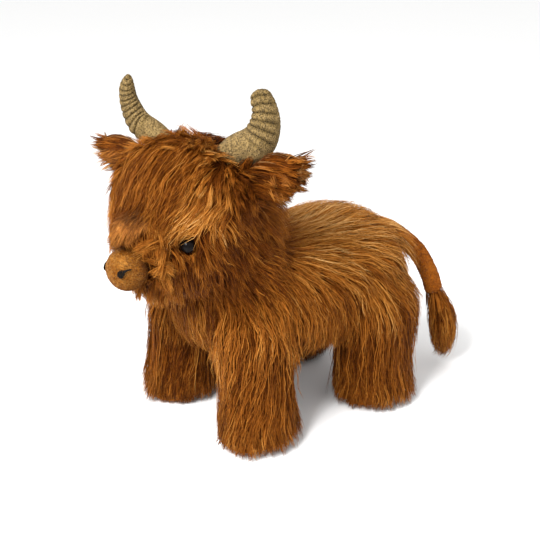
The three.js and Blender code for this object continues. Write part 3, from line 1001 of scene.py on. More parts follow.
# Tufts that stand out of the coat, on the head unless "on" says otherwise, and on both sides unless "single".
# A tuft runs the "way" given or straight "to" a place, and may lie "over" a cushion of stuffing. What it
# doesn't say is taken from tuftLayer.
tuftLayer = {
    "name": "tufts", "pieces": 2, "profile": [0.6, 1.0, 0.95, 0.65, 0.0], "width": 0.85, "clump": 0.72,
    "wave": 0.8, "lift": 0.5, "even": (0.75, 1.15), "stand": (0.5, 1.0), "on": "head",
}
tufts = {
    "bridge": dict(
        at=(4, -61, 12), reach=12, locks=1000, groups=60, way=(-0.3, -0.8, -0.4), fan=0.04, length=26,
        even=(0.7, 1.05), lift=0.25, droop=0.6, tone=0.09, frost=0.06, single=True, clump=0.3, wave=0.5,
        over=mound
    ),
    "curl": dict(
        at=(10, -60, 5), reach=6, locks=200, groups=14, way=(0.8, -0.3, 0.0), fan=0.1, length=20, droop=0.7,
        tone=0.16, single=True, wave=0.4
    ),
    "lip": dict(
        at=(25, -58, -2), reach=4.5, locks=110, groups=7, to=(0, -79, -9), fan=0.03, length=32,
        even=(0.85, 1.05), droop=0.02, tone=0.19, single=True, wave=0.5, clump=0.55
    ),
    "hornRoot": dict(
        at=(26, -9, 49), reach=9, locks=260, groups=18, way=(1, -0.1, 0.0), fan=0.2, length=20, droop=0.1,
        tone=0.22
    ),
    "jowl": dict(
        at=(19, -61, -9), reach=10, locks=900, groups=50, to=(14, -73, -40), fan=0.2, length=33, droop=0.1,
        tone=0.20, single=True, clump=0.5, wave=0.6
    ),
    "lipCorner": dict(
        at=(17, -58, -29), reach=8, locks=220, groups=10, way=(-0.1, -0.5, -0.8), fan=0.3, length=14,
        lift=0.6, droop=0.5, tone=0.08
    ),
    "chin": dict(
        at=(9, -51, -43), reach=13, locks=460, groups=26, way=(0.1, 0.1, -1), fan=0.3, length=20, lift=0.4,
        droop=0.6, tone=0.18
    ),
    "poll": dict(
        at=(12, -8, 55), reach=16, locks=460, groups=13, way=(0, -0.4, 0.6), fan=0.5, length=21, lift=0.9,
        droop=0.25, tone=0.12
    ),
    "brow": dict(
        at=(40, -18, 38), reach=15, locks=560, groups=28, way=(-0.1, -0.9, -0.4), fan=0.5, length=24,
        droop=0.35, tone=0.08
    ),
    "earFront": dict(
        at=(48, -4, 24), reach=14, locks=620, groups=30, way=(0.3, -0.4, -0.5), fan=0.9, length=18,
        droop=0.35, tone=-0.02
    ),
    "earRoot": dict(
        at=(46, 0, 28), reach=13, locks=400, groups=30, way=(1, -0.2, 0.15), fan=0.15, length=25, lift=0.4,
        droop=0.06, tone=0.02
    ),
    "earTop": dict(
        at=(90, 5, 47), reach=10, locks=130, groups=5, way=(1, 0, 0.05), fan=0.02, length=17, lift=0.05,
        droop=0.0, tone=0.22, frost=0.15, on="ear", clump=0.85
    ),
    "earEnd": dict(
        at=(90, 5, 37), reach=9, locks=150, groups=5, way=(1, 0, 0.2), fan=0.02, length=19, lift=0.05,
        droop=0.0, tone=0.22, frost=0.15, on="ear", clump=0.85
    ),
    "earUnder": dict(
        at=(76, 5, 27), reach=13, locks=240, groups=12, way=(1, 0, -0.3), fan=0.05, length=18, lift=0.1,
        droop=0.1, tone=0.12, frost=0.05, on="ear", clump=0.8
    ),
    "nape": dict(
        at=(44, 24, 8), reach=24, locks=900, groups=40, way=(0.25, 0.9, -0.3), fan=0.2, length=38, lift=0.6,
        droop=0.4, tone=0.08
    ),
    "cheek": dict(
        at=(46, -2, -28), reach=20, locks=520, groups=30, way=(0.15, 0.7, -0.6), fan=0.2, length=24,
        droop=0.45, tone=0.02
    ),
    "rump": dict(
        at=(22, 98, 130), reach=24, locks=800, groups=34, way=(0.2, 0.9, -0.45), fan=0.1, length=44,
        lift=0.45, droop=0.35, tone=0.02, single=True, on="trunk"
    ),
}


def spaced(points, spacing):
    # the numbers of points that lie at least the spacing apart, taken in order
    taken, kept = {}, []
    cells = np.floor(points / spacing).astype(int)
    around = [(i, j, k) for i in (-1, 0, 1) for j in (-1, 0, 1) for k in (-1, 0, 1)]
    for number, ((x, y, z), point) in enumerate(zip(cells.tolist(), points.tolist())):
        near = [other for i, j, k in around for other in taken.get((x + i, y + j, z + k), ())]
        if all(math.dist(other, point) >= spacing for other in near):
            taken.setdefault((x, y, z), []).append(point)
            kept.append(number)
    return np.array(kept)


def pileLength(points, length, owner):
    # no lock runs along the floor, those round the feet reach it, and the belly's end in one line
    region = regionNames[owner]
    height = points[:, 2]
    low = (region == "leg") & (height < hem["locks"])
    body = (region == "trunk") | (region == "neck")
    line = np.maximum((height - hem["bellyLine"]) * hem["bellySlope"], hem["bellyShortest"])
    length = np.where(body, np.minimum(line, length), length)
    room = np.maximum(height - hem["clear"], hem["shortest"])
    ragged = 1 + hem["ragged"] * ripple(points, hem["scale"], 6)
    return np.where(low, np.minimum(room * ragged, length), np.minimum(room, length))


def growPaths(points, normals, ways, length, stand, droop, follow, rng):
    # each path leaves the skin and settles at its own height over it; follow is 1 where it keeps to the lie
    # of the coat, and 0 for a tuft that goes its own way
    count, stations = len(points), coat["stations"]
    path = np.empty((count, stations, 3))
    path[:, 0] = points - normals * coat["sink"]
    heading = ways
    down = np.array([0, 0, -1.0])
    outside = dot(normals * [1, 0, 0], np.sign(points - bodyOrigin)) > hem["outside"]
    swing = rng.normal(0, hem["swing"], (count, 3)) * [1, 1, 0]
    swing = swing + normals * [1, 1, 0] * hem["flare"] * outside
    for station in range(1, stations):
        share = station / (stations - 1)
        step = (length / (stations - 1))[:, None]
        before = path[:, station - 1]
        place = before + step * heading
        foot, footNormal, footOwner = surface.nearest(place)
        high = dot(place - foot, footNormal)
        wanted = (stand * (1 - (1 - share) ** coat["rise"]))[:, None]
        rests = np.clip(coat["rests"][0] + coat["rests"][1] * footNormal[:, 2:3], 0, 1)
        free = ((place[:, 2] < hem["free"]) & (regionNames[footOwner] == "leg"))[:, None]
        beyond = np.abs(toHead(foot)[:, 0]) > ears["freeFrom"] * mm
        pastEnd = ((regionNames[footOwner] == "ear") & beyond)[:, None]
        pull = np.where(high < wanted, 1.0, coat["hug"] * rests * follow) * ~(free | pastEnd)
        place = place + footNormal * (wanted - high) * pull
        place[:, 2] = np.maximum(place[:, 2], coat["floor"])
        path[:, station] = place
        went = unit(place - before)
        if follow:
            flow = combed(foot, footNormal, footOwner)[0]
            flow = np.where(free, down + swing, np.where(pastEnd, went, flow))
            went = went * coat["stiffness"] + flow * (1 - coat["stiffness"])
        heading = unit(went + down * droop * ~pastEnd / (1 if follow else stations / coat["tuftSteps"]))
    return path


def sampled(paths, shares):
    # each path read at its own shares, (locks, stations)
    place = np.clip(shares, 0, 1) * (paths.shape[1] - 1)
    index = np.minimum(place.astype(int), paths.shape[1] - 2)
    t = (place - index)[:, :, None]
    rows = np.arange(len(paths))[:, None]
    return paths[rows, index] * (1 - t) + paths[rows, index + 1] * t


def pushedOut(points, bulge):
    # moves points inside a piece of stuffing on the head out to its surface
    half = np.array(bulge["half"]) * lock["bulge"] * mm
    centre = onHead(bulge["place"])
    local = (points - centre) @ headTurn / half
    size = np.linalg.norm(local, axis=-1, keepdims=True)
    local = np.where(size < 1, local / np.maximum(size, tiny), local)
    return (local * half) @ headTurn.T + centre


def tuckedUnder(paths):
    # the head's own pile ends where it would run onto the mound; gives the share left of each path too
    inside = onMound(paths, mound["tuck"])
    last = paths.shape[1] - 1
    first = np.maximum(inside.argmax(axis=1), mound["stub"])
    first = np.where(inside.any(axis=1) & ~inside[:, 0], first, last)
    return sampled(paths, np.linspace(0, 1, last + 1)[None] * first[:, None] / last), first / last


def underHorn(points):
    # true where a root would lie inside a horn
    inside = np.zeros(len(points), bool)
    for side, sign in sides.items():
        route = onHead(curveAt(horn[side]["route"], np.linspace(0, horn["hiddenShare"], routeSteps)), sign)
        inside |= np.sqrt(squaredGaps(points, route)).min(axis=1) < horn["along"] * horn["bare"] * mm
    return inside


def partedRoundEyes(points):
    # hair keeps clear of the beads and of the way straight out of them
    clear = eyes["clear"]
    for sign in sides.values():
        bead = np.array(eyes["place"]) * [sign, 1, 1] * mm
        axis = unit(bead * [1, 1, 0] + np.array([0, 0, eyes["lookUp"]]) * mm)
        local = toHead(points.reshape(-1, 3)) - bead
        along = (local @ axis)[:, None]
        radial = local - along * axis
        away = np.linalg.norm(radial, axis=1, keepdims=True)
        inFront = (along > -1 * mm) & (away < clear)
        moved = np.where(inFront, radial * clear / np.maximum(away, tiny), radial) + along * axis
        size = np.linalg.norm(moved, axis=1, keepdims=True)
        moved = np.where(size < clear, moved * clear / np.maximum(size, tiny), moved)
        points = fromHead(moved + bead).reshape(points.shape)
    return points


def makeLocks(layer, guides, guideLength, place, rng):
    # children of the nearest path: they start at their own roots and close in on the path towards its tip
    roots, normals, uv, owner, depth = place
    closest = nearestOf(guides[:, 0], roots)
    count = len(roots)
    region = regionNames[owner]
    share = np.linspace(0, 1, len(layer["profile"]))[None]
    low = (region == "leg") & (roots[:, 2] < hem["locks"])
    reach = np.where(low, rng.uniform(*lock["hemReach"], count), rng.uniform(*lock["reach"], count))[:, None]
    offset = (roots - normals * coat["sink"] - guides[closest, 0])[:, None]
    closing = np.where(low, hem["clump"], np.where(region == "ear", ears["clump"], layer["clump"]))
    closing = closing * rng.uniform(*lock["closing"], count)
    closing = np.clip(closing[:, None] * share ** lock["clumpPower"], 0, lock["mostClosed"])
    centre = sampled(guides[closest], share * reach) + offset * (1 - closing)[:, :, None]
    spread = (rng.uniform(-1, 1, count) * lock["spread"] * depth)[:, None] * share
    centre = centre + normals[:, None] * spread[:, :, None]

    sideways = unit(np.cross(normals[:, None], unit(np.gradient(centre, axis=1))))
    length = guideLength[closest] * reach[:, 0]
    calm = np.where(region == "ear", ears["calm"], 1.0)
    phase = rng.uniform(0, 2 * math.pi, len(guides))[closest] + rng.normal(0, lock["wavePhase"], count)
    turns = (2 * math.pi * length / lock["waveLength"])[:, None] * share + phase[:, None]
    height = lock["waveHeight"] * layer["wave"] * rng.uniform(*lock["waves"], count)[:, None] * share
    height = height * (np.minimum(length / lock["fullWave"], 1) * calm)[:, None]
    bobTurns, bobHeight = lock["bob"]
    centre = centre + sideways * (np.sin(turns) * height)[:, :, None]
    centre = centre + normals[:, None] * (np.cos(turns * bobTurns) * height * bobHeight)[:, :, None]
    stray = rng.uniform(-1, 1, count) * lock["drift"] * length * calm
    centre = centre + sideways * (stray[:, None] * share ** lock["driftPower"])[:, :, None]
    centre[region == "head"] = partedRoundEyes(centre[region == "head"])
    for bulge in (layer.get("over", muzzle), muzzle):
        centre = pushedOut(centre, bulge)
    centre[:, :, 2] = np.maximum(centre[:, :, 2], coat["floor"] + lock["clear"])

    wide = perRegion(lock["halfWidth"], owner) * rng.uniform(*lock["widths"], count) * layer["width"]
    roll = rng.normal(0, lock["roll"], count)[:, None, None]
    above = np.broadcast_to(unit(normals[:, None] + sideways * roll), centre.shape)
    tone, frost = markingAndShade(roots, normals, owner)
    groupTone = rng.normal(0, coatTones["clumpSpread"], len(guides))[closest]
    tone = tone + groupTone + rng.normal(0, coatTones["lockSpread"], count) + layer["tone"]
    tone = np.maximum(tone[:, None] + mix(coatTones["atRoot"], coatTones["atTip"], share), coatTones["least"])
    half = wide[:, None] * np.array(layer["profile"])[None]
    return {"centre": centre, "above": above, "halfWidth": half, "rootUv": uv, "tone": tone,
            "frost": frost + layer.get("frost", 0)}


def rootsKept(place):
    roots = place[0]
    free = ~underHorn(roots)
    for sign in sides.values():
        free &= np.linalg.norm(roots - onHead(eyes["place"], sign), axis=1) > eyes["clear"]
    return [values[free] for values in place]


def growLayer(layer, seed):
    rng = np.random.default_rng(seed)
    first = surface.corners[:, 0]
    owner = surface.owner[first]
    facing = surface.normals[first, 2]
    crowd = perRegion(coat["crowding"], owner)
    under = (regionNames[owner] == "trunk") & (facing < coat["underFacing"])
    crowd = crowd * np.where(under, coat["sparseUnder"], 1)
    bareBelow, bareFacing = hem["bare"]
    crowd = crowd * ~((surface.middle[:, 2] < bareBelow) & (facing < bareFacing))
    place = surface.scatter(layer["paths"] * coat["tries"], crowd, rng)
    chosen = spaced(place[0], layer["gap"])[: layer["paths"]]
    points, normals, _, owner, depth = (values[chosen] for values in place)
    count = len(points)
    ways, length = combed(points, normals, owner)
    ways = unit(ways + np.cross(normals, ways) * rng.normal(0, coat["strayTurn"], count)[:, None])
    heading = unit(ways * math.cos(coat["lift"]) + normals * math.sin(coat["lift"]))
    reach = rng.uniform(*layer["reach"], count)
    length = length * np.where(length < coat["faceHair"], np.minimum(reach, coat["faceReach"]), reach)
    local = toHead(points) / mm
    leafLeft = ears["longest"] - np.maximum(ears["lowerPoint"] - local[:, 2], 0) * ears["slant"]
    leafLeft = (leafLeft - np.abs(local[:, 0])) * mm
    onLeaf = np.clip(leafLeft, ears["shortest"], bodyComb["length"]["ear"])
    length = pileLength(points, np.where(regionNames[owner] == "ear", onLeaf, length), owner)
    flat = coat["innerFlat"] * facingInward(points, normals, owner, coat["innerFacing"])
    stand = depth * rng.uniform(*layer["stand"], count) * (1 - flat)
    guides, left = tuckedUnder(growPaths(points, normals, heading, length, stand, coat["droop"], 1, rng))
    print(layer["name"], "layer: paths grown", count)
    place = rootsKept(surface.scatter(layer["locks"], crowd, rng))
    return makeLocks(layer, guides, length * left, place, rng)


def growTuft(tuft, sign, seed):
    rng = np.random.default_rng(seed)
    tuft = {**tuftLayer, **tuft}
    onBody = tuft["on"] == "trunk"
    at = np.array(tuft["at"]) * [sign, 1, 1] * mm
    centre = at + bodyOrigin if onBody else fromHead(at)
    near = (np.linalg.norm(surface.middle - centre, axis=1) < tuft["reach"] * mm).astype(float)
    near = near * (regionNames[surface.owner[surface.corners[:, 0]]] == tuft["on"])
    points, normals, _, _, depth = surface.scatter(tuft["groups"], near, rng)
    away = (points - centre) / (tuft["reach"] * mm)
    if "to" in tuft:
        heading = unit(unit(onHead(tuft["to"], sign) - points) + away * tuft["fan"])
    else:
        way = np.array(tuft["way"]) * [sign, 1, 1]
        ways = (way if onBody else turnFromHead(way)) + away * tuft["fan"]
        heading = unit(flatten(ways, normals) + normals * tuft["lift"])
    length = tuft["length"] * mm * rng.uniform(*tuft["even"], len(points))
    stand = depth * rng.uniform(*tuft["stand"], len(points))
    guides = growPaths(points, normals, heading, length, stand, tuft["droop"], 0, rng)
    return makeLocks(tuft, guides, length, rootsKept(surface.scatter(tuft["locks"], near, rng)), rng)


def growTufts():
    grown = []
    for number, tuft in enumerate(tufts.values()):
        for sign in (1,) if tuft.get("single") else (1, -1):
            grown.append(growTuft(tuft, sign, 100 + 2 * number + (sign < 0)))
    return {key: np.concatenate([part[key] for part in grown]) for key in grown[0]}


def buildLayer(layer, grown, first):
    # the locks are dealt out to the pieces in turn, so that each piece covers the whole toy
    made = []
    for number in range(layer["pieces"]):
        name = f"coat_{first + number}"
        dealt = {key: values[number :: layer["pieces"]] for key, values in grown.items()}
        made.append(link(lockMesh(ridge=lock["ridge"], **dealt), name, coatMaterial))
    print(layer["name"], "layer:", len(grown["tone"]), "locks")
    return made


def settle(piece, slot, *nodes, fill=None):
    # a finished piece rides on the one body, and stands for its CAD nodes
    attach(piece, "root")
    if nodes:
        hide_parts(*nodes)


coatPieces = []
for seed, layer in enumerate(layers):
    coatPieces += buildLayer(layer, growLayer(layer, 11 + seed), len(coatPieces) + 1)
coatPieces += buildLayer(tuftLayer, growTufts(), len(coatPieces) + 1)
settle(skin, "long_fur", *fleshNodes, fill=0.85)
for piece in coatPieces:
    settle(piece, "long_fur")
print("coat made:", len(coatPieces), "pieces")

# ---- round pieces of short plush


def tubeFaces(rings, facets):
    # the walls and ends of a tube of rings, whose last two vertices are the middles of its ends
    row = np.arange(facets)
    after = (row + 1) % facets
    level = np.arange(rings - 1)[:, None] * facets
    quads = np.stack([level + row, level + facets + row, level + facets + after, level + after], axis=-1)
    last, start = (rings - 1) * facets, rings * facets
    triangles = np.concatenate([
        np.stack([row, after, np.full(facets, start)], axis=1),
        np.stack([last + after, last + row, np.full(facets, start + 1)], axis=1),
    ])
    return quads.reshape(-1, 4), triangles


def ringsOf(side, over, facets):
    # a unit circle for each pair of directions
    around = np.arange(facets) * 2 * math.pi / facets
    return side[:, None] * np.cos(around)[None, :, None] + over[:, None] * np.sin(around)[None, :, None]


def ballMesh(place, half, facets, rings, turn, shape=np.asarray):
    # a closed ball whose unit points are reshaped before they are scaled
    latitudes = np.linspace(-math.pi / 2, math.pi / 2, rings + 2)[1:-1, None]
    grid = ringsOf(np.cos(latitudes) * [1, 0, 0], np.cos(latitudes) * [0, 1, 0], facets)
    grid = (grid + np.sin(latitudes)[:, None] * [0, 0, 1]).reshape(-1, 3)
    ball = shape(np.vstack([grid, [[0, 0, -1], [0, 0, 1]]])) * half
    quads, triangles = tubeFaces(rings, facets)
    return meshFrom(ball @ turn.T + place, quads[:, [0, 3, 2, 1]], triangles[:, [1, 0, 2]])


def tubeMesh(route, radii, facets):
    # a closed tube along the route, in metres
    forward = unit(np.gradient(route, axis=0))
    side = unit(np.cross(forward, [0.0, 0.3, 1.0]))
    points = route[:, None] + ringsOf(side, np.cross(side, forward), facets) * radii[:, None, None]
    vertices = np.vstack([points.reshape(-1, 3), route[:1], route[-1:]])
    return meshFrom(vertices, *tubeFaces(len(route), facets))


def roundedEnds(count, sharpness):
    share = np.linspace(0, 1, count)
    edge = np.minimum(share, 1 - share) * sharpness
    return np.sqrt(np.clip(1 - (1 - np.clip(edge, 0, 1)) ** 2, 0.02, 1))


nap = {
    # short pile, one small pointed tuft for each root; a pair is the least and the most
    "stray": 0.35,
    "rise": (0.5, 1.4),
    "reach": (0.6, 1.2),
    "widths": (0.6, 1.3),
    "sink": 0.3 * mm,
    "bendAt": 0.55,
    "bend": 0.3,  # how much of its rise a tuft keeps past the bend
    "profile": [1.0, 0.7, 0.0],
    "tones": [-0.15, 0.0, 0.12],
    "ridge": 0.6,
    "clothTone": 0.45,  # this tone and the next are for a piece that has none of its own
    "pileTone": 0.5,
}


def napLocks(thing, name, pile, way, tone, keep, seed):
    unwrap(thing)
    mesh = thing.data
    cover = Surface(thing, np.zeros(len(mesh.vertices), int), np.zeros(len(mesh.vertices)))
    rng = np.random.default_rng(seed)
    points, normals, uv, _, _ = cover.scatter(pile["count"], np.ones(len(cover.area)), rng)
    chosen = keep(points)
    points, normals, uv = points[chosen], normals[chosen], uv[chosen]
    count = len(points)
    ways = flatten(way(points) + rng.normal(0, nap["stray"], (count, 3)), normals)
    rise = pile["lift"] * rng.uniform(*nap["rise"], count)[:, None]
    reach = (pile["length"] * rng.uniform(*nap["reach"], count))[:, None]
    start = points - normals * nap["sink"]
    elbow = start + unit(ways + normals * rise) * reach * nap["bendAt"]
    end = elbow + unit(ways + normals * rise * nap["bend"]) * reach * (1 - nap["bendAt"])
    path = np.stack([start, elbow, end], axis=1)
    half = pile["width"] * rng.uniform(*nap["widths"], count)[:, None] * np.array([nap["profile"]])
    above = np.broadcast_to(normals[:, None], path.shape)
    tones = tone(points) + rng.normal(0, pile["spread"], count)
    tones = tones[:, None] + np.array([nap["tones"]])
    tufts = lockMesh(path, above, half, nap["ridge"], uv, tones, np.zeros(count))
    return link(tufts, name, mesh.materials[0])


def plainTone(points):
    return nap["pileTone"]


def allOf(points):
    return slice(None)


def makePlush(mesh, names, material, slot, node, pile, way, seed, clothTone=nap["clothTone"],
              pileTone=plainTone, keep=allOf):
    # a stuffed piece of cloth, and the pile that stands on it
    thing = link(mesh, names[0], material)
    give(mesh, "tone", clothTone)
    tufts = napLocks(thing, names[1], pile, way, pileTone, keep, seed)
    settle(thing, slot, node, fill=0.9)
    settle(tufts, slot)


# ---- muzzle

muzzlePlush = {
    "clothDepth": 0.8,
    "flatInFront": 0.06,
    "fullBelow": 0.05,
    "facets": 64,
    "rings": 40,
    # tone in front, its change towards the head, and where that happens
    "clothTone": (0.45, -0.22, (-84 * mm, -68 * mm)),
    "pileTone": (0.43, -0.20, (-84 * mm, -66 * mm)),
    "middleWay": (0.0, 0.3, -0.8),
    "outerWay": (1.0, 0.35, 0.0),
    "pile": {"count": 9000, "length": 2.4 * mm, "width": 0.27 * mm, "lift": 0.3, "spread": 0.13},
}


def muzzleShape(ball):
    ball = ball.copy()
    front = np.clip(-ball[:, 1], 0, 1)
    ball[:, 1] += front**3 * muzzlePlush["flatInFront"]
    ball[:, 2] *= 1 + muzzlePlush["fullBelow"] * np.clip(-ball[:, 2], 0, 1)
    return ball


def makeMuzzle():
    half = (np.array(muzzle["half"]) - muzzlePlush["clothDepth"]) * mm
    place = onHead(muzzle["place"])
    mesh = ballMesh(place, half, muzzlePlush["facets"], muzzlePlush["rings"], headTurn, muzzleShape)
    middleWay, outerWay = turnFromHead([muzzlePlush["middleWay"], muzzlePlush["outerWay"]])

    def way(points):
        side = toHead(points)[:, :1] / muzzle["half"][0] / mm
        return outerWay * np.clip(side * 2, -1, 1) + middleWay * (1 - np.abs(side))

    def toneAt(points, key):
        tone, change, span = muzzlePlush[key]
        return tone + change * smooth(toHead(points)[:, 1], *span)

    makePlush(
        mesh, ("muzzle_cloth", "muzzle_pile"), muzzleMaterial, "short_pile", "muzzle", muzzlePlush["pile"],
        way, 21, toneAt(readPoints(mesh), "clothTone"), lambda points: toneAt(points, "pileTone")
    )


makeMuzzle()
print("muzzle made")

# ---- tail stem

tailStem = {
    "route": [[8, 94, 129], [17, 113, 126], [29, 132, 108], [37, 142, 86], [41, 146, 68]],
    "radius": 7.6 * mm,
    "rings": 60,
    "facets": 32,
    "roundness": 12,
    "pile": {"count": 6000, "length": 2.6 * mm, "width": 0.36 * mm, "lift": 0.4, "spread": 0.12},
}


def makeTail():
    rings = tailStem["rings"]
    route = bodyOrigin + curveAt(tailStem["route"], np.linspace(0, 1, rings)) * mm
    radii = tailStem["radius"] * roundedEnds(rings, tailStem["roundness"])
    makePlush(tubeMesh(route, radii, tailStem["facets"]), ("tail_stem_cloth", "tail_pile"), tailMaterial,
              "short_pile", "tail_stem", tailStem["pile"], alongRoute(route), 22)


makeTail()
print("tail made")

# ---- soles

sole = {
    "roundness": (0.85, 0.85, 0.55),  # a pad is nearly flat below and domed above
    "inset": (0.3 * mm, 0.3 * mm, 0),
    "flatBelow": 0.8 * mm,
    "pileAbove": 2.5 * mm,
    "outward": (1, 1, 0.2),
    "hang": -4 * mm,
    "facets": 40,
    "rings": 20,
    "pile": {"count": 1300, "length": 2.4 * mm, "width": 0.4 * mm, "lift": 0.4, "spread": 0.12},
}


def makeSole(name, seed):
    low, high = (np.array(corner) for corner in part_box(name))
    middle = (low + high) / 2

    def shape(ball):
        return np.sign(ball) * np.abs(ball) ** np.array(sole["roundness"])

    def way(points):
        return (points - middle) * sole["outward"] + np.array([0, 0, sole["hang"]])

    half = (high - low) / 2 - sole["inset"]
    mesh = ballMesh(middle, half, sole["facets"], sole["rings"], np.eye(3), shape)
    points = readPoints(mesh)
    points[:, 2] = np.where(points[:, 2] < sole["flatBelow"], 0.0, points[:, 2])
    movePoints(mesh, points)
    names = (f"{name}_pad", f"{name}_pile")
    makePlush(mesh, names, soleMaterial, "short_pile", name, sole["pile"], way, seed,
              keep=lambda points: points[:, 2] > sole["pileAbove"])


for number, foot in enumerate(("front_left", "front_right", "hind_left", "hind_right")):
    makeSole(f"sole_{foot}", 30 + number)
print("soles made")

# ---- horns


def eased(values, rounds):
    # a row of values with its corners rounded off
    for _ in range(rounds):
        values[1:-1] = (values[:-2] + values[2:] + 2 * values[1:-1]) / 4
    return values


def makeHorn(side, sign, seed):
    own = horn[side]
    shares = np.linspace(0, 1, horn["rings"])
    route = curveAt(own["route"], shares)
    forward = unit(np.gradient(route, axis=0))
    sideAxis = unit(np.cross([0.0, -1.0, 0.0], forward))
    around = np.arange(horn["facets"]) * 2 * math.pi / horn["facets"]
    turned = around - horn["sectionTurn"]
    section = 1 / np.hypot(np.cos(turned) / horn["across"], np.sin(turned) / horn["along"])
    beyond = np.clip((shares - 1) / own["tip"] + 1, 0, 1)
    girth = eased(np.interp(shares, *zip(*own["girth"])), horn["girthRounding"])
    girth = girth * np.sqrt(np.clip(1 - beyond**2, 0.02, 1))
    ring = ringsOf(sideAxis, np.cross(forward, sideAxis), horn["facets"])
    facing = smooth(ring @ unit(np.array(horn["ribbedSide"])), *horn["ribbedFacing"])
    band = smooth(shares, own["ribsFrom"], own["ribsFrom"] + horn["ribsFadeOver"])[:, None]
    slant = shares[:, None] + own["askew"] * np.sin(around)[None]  # the creases run askew
    crease = (1 - np.abs(np.sin(math.pi * own["ribs"] * slant)) ** horn["ribSharpness"]) * band * facing
    reach = girth[:, None] * section[None] * (1 - horn["ribDepth"] * crease)
    points = route[:, None] + ring * reach[:, :, None]
    ends = np.stack([route[0], route[-1] + forward[-1] * horn["tipDome"]])
    vertices = onHead(np.vstack([points.reshape(-1, 3), ends]), sign)
    quads, triangles = tubeFaces(horn["rings"], horn["facets"])
    if sign < 0:
        quads, triangles = quads[:, ::-1], triangles[:, ::-1]
    # the creases are darkened by painted shade, on the cloth and on its pile
    clothTone, clothCreaseShade = horn["clothTone"]
    pileTone, pileCreaseShade = horn["pileTone"]

    def toneAt(points):
        return pileTone + pileCreaseShade * crease.ravel()[nearestOf(vertices[: crease.size], points)]

    makePlush(
        meshFrom(vertices, quads, triangles), (f"horn_{side}_cloth", f"horn_{side}_pile"), hornMaterial,
        "horn_chenille", f"horn_{side}", horn["pile"], alongRoute(onHead(route, sign)), seed,
        np.append(clothTone + clothCreaseShade * crease, [horn["endTone"]] * 2), toneAt
    )


for number, (side, sign) in enumerate(sides.items()):
    makeHorn(side, sign, 41 + number)
print("horns made")

# ---- eyes and nostrils

bead = {"facets": 48, "rings": 30, "cloudScale": 300.0, "roughness": 0.09, "gloss": 0.075,
        "colours": [(0.3, (0.0015, 0.001, 0.001)), (0.8, (0.006, 0.004, 0.0035))]}


def makeEyes():
    material = makeMottled("bead_gloss", bead["cloudScale"], bead["colours"], Roughness=bead["roughness"],
                           Specular_IOR_Level=bead["gloss"])
    half = np.full(3, eyes["radius"])
    for side, sign in sides.items():
        mesh = ballMesh(onHead(eyes["place"], sign), half, bead["facets"], bead["rings"], headTurn)
        settle(link(mesh, f"eye_{side}_bead", material), "eye_gloss", f"eye_{side}")


nostril = {
    "sideways": 7.8,
    "up": 1.8,
    "turn": {"left": 0.0, "right": math.radians(35)},  # the right one sits further round the muzzle
    "thick": 0.55 * mm,
    "proud": (0.1, 0.4),  # mm that a stitch stands off the muzzle at its ends, and more in its middle
    "rings": 9,
    "facets": 8,
    "roundness": 6,
    # each stitch runs from one point to another: sideways and up
    "stitches": [((-2.2, -2.6), (-2.0, 1.4)), ((-1.3, -3.6), (-1.1, 2.4)), ((-0.4, -4.0), (0.0, 2.6)),
                 ((0.5, -3.4), (1.1, 2.4)), ((1.2, -1.8), (2.0, 2.4)), ((1.4, 0.6), (3.4, 2.4)),
                 ((0.8, 1.8), (5.0, 2.5))],
    "fibreScale": 2500.0,
    "roughness": 0.6,
    "gloss": 0.08,
    "colours": [(0.3, (0.003, 0.002, 0.001)), (0.8, (0.010, 0.007, 0.005))],
}


def joined(meshes):
    # one mesh of several, which are then removed
    maker = bmesh.new()
    for mesh in meshes:
        maker.from_mesh(mesh)
        bpy.data.meshes.remove(mesh)
    whole = bpy.data.meshes.new("joined")
    maker.to_mesh(whole)
    maker.free()
    whole.shade_smooth()
    return whole


def makeStitch(start, end, side, sign):
    # a thread over the front of the muzzle
    steps = np.linspace(0, 1, nostril["rings"])
    x = nostril["sideways"] + mix(start[0], end[0], steps)
    z = nostril["up"] + mix(start[1], end[1], steps)
    half = np.array(muzzle["half"], float)
    least, more = nostril["proud"]
    depth = np.sqrt(np.clip(1 - (x / half[0]) ** 2 - (z / half[2]) ** 2, 0.01, 1))
    place = np.stack([x, -depth * half[1] - (least + more * np.sin(math.pi * steps)), z], axis=1)
    place = place @ np.array(Matrix.Rotation(-nostril["turn"][side], 3, "Z")) + muzzle["place"]
    radii = nostril["thick"] * roundedEnds(len(steps), nostril["roundness"])
    return tubeMesh(onHead(place, sign), radii, nostril["facets"])


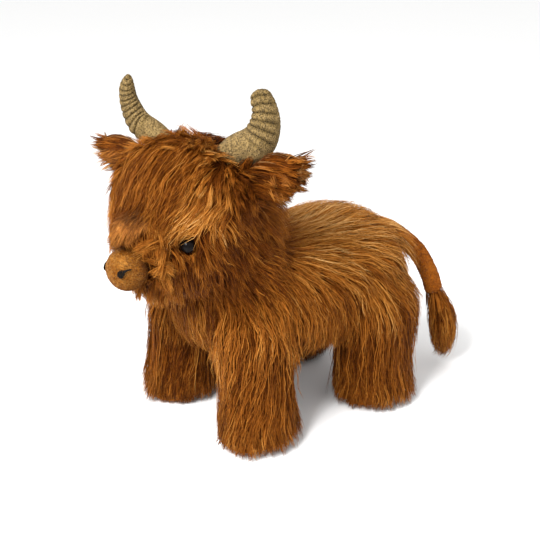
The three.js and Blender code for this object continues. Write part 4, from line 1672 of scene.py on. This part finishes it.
def makeNostrils():
    material = makeMottled("stitch_thread", nostril["fibreScale"], nostril["colours"],
                           Roughness=nostril["roughness"], Specular_IOR_Level=nostril["gloss"])
    for side, sign in sides.items():
        stitches = [makeStitch(start, end, side, sign) for start, end in nostril["stitches"]]
        thing = link(joined(stitches), f"nostril_{side}_stitch", material)
        settle(thing, "nostril_thread", f"nostril_{side}")


makeEyes()
makeNostrils()
print("face made")

# ---- floor and light

studio = {
    "floorSize": 90.0,
    "floorDrop": -0.1 * mm,
    "floorColours": [(0.0, (0.94545, 0.94545, 0.9405)), (1.0, (0.955, 0.955, 0.95))],
    "cloudScale": 3.0,
    "worldColour": (1, 1, 1, 1),
    "worldStrength": 0.99,
    "lights": [
        # energy in watts, size in metres, and the way to it: share of back, right and up from the object
        {"name": "key", "energy": 20.0, "size": 0.5, "way": (0.75, -0.6, 1.0), "away": 1.3},
        {"name": "glint", "energy": 6.0, "size": 0.16, "way": (0.9, -0.35, 0.75), "away": 1.1},
    ],
}


def makeStudio():
    material = makeMottled("studio_paper", studio["cloudScale"], studio["floorColours"], Roughness=0.9,
                           Specular_IOR_Level=0.1)
    side = studio["floorSize"] / 2
    corners = [(-side, -side, 0), (side, -side, 0), (side, side, 0), (-side, side, 0)]
    floor = link(meshFrom(corners, [[0, 1, 2, 3]], []), "floor", material)
    floor.location.z = studio["floorDrop"]

    world = bpy.data.worlds.new("studio")
    bpy.context.scene.world = world
    world.use_nodes = True
    background = world.node_tree.nodes["Background"].inputs
    background["Color"].default_value = studio["worldColour"]
    background["Strength"].default_value = studio["worldStrength"]
    back = backFrom(view["azimuth"], 0)
    right = Vector((-back.y, back.x, 0))
    for lamp in studio["lights"]:
        data = bpy.data.lights.new(lamp["name"], "AREA")
        data.energy = lamp["energy"]
        data.size = lamp["size"]
        toBack, toRight, up = lamp["way"]
        way = (back * toBack + right * toRight + Vector((0, 0, up))).normalized()
        aimAt(addObject(lamp["name"], data), viewTarget + way * lamp["away"], viewTarget)


makeStudio()
bpy.context.scene.view_settings.view_transform = "Standard"
print("studio made")
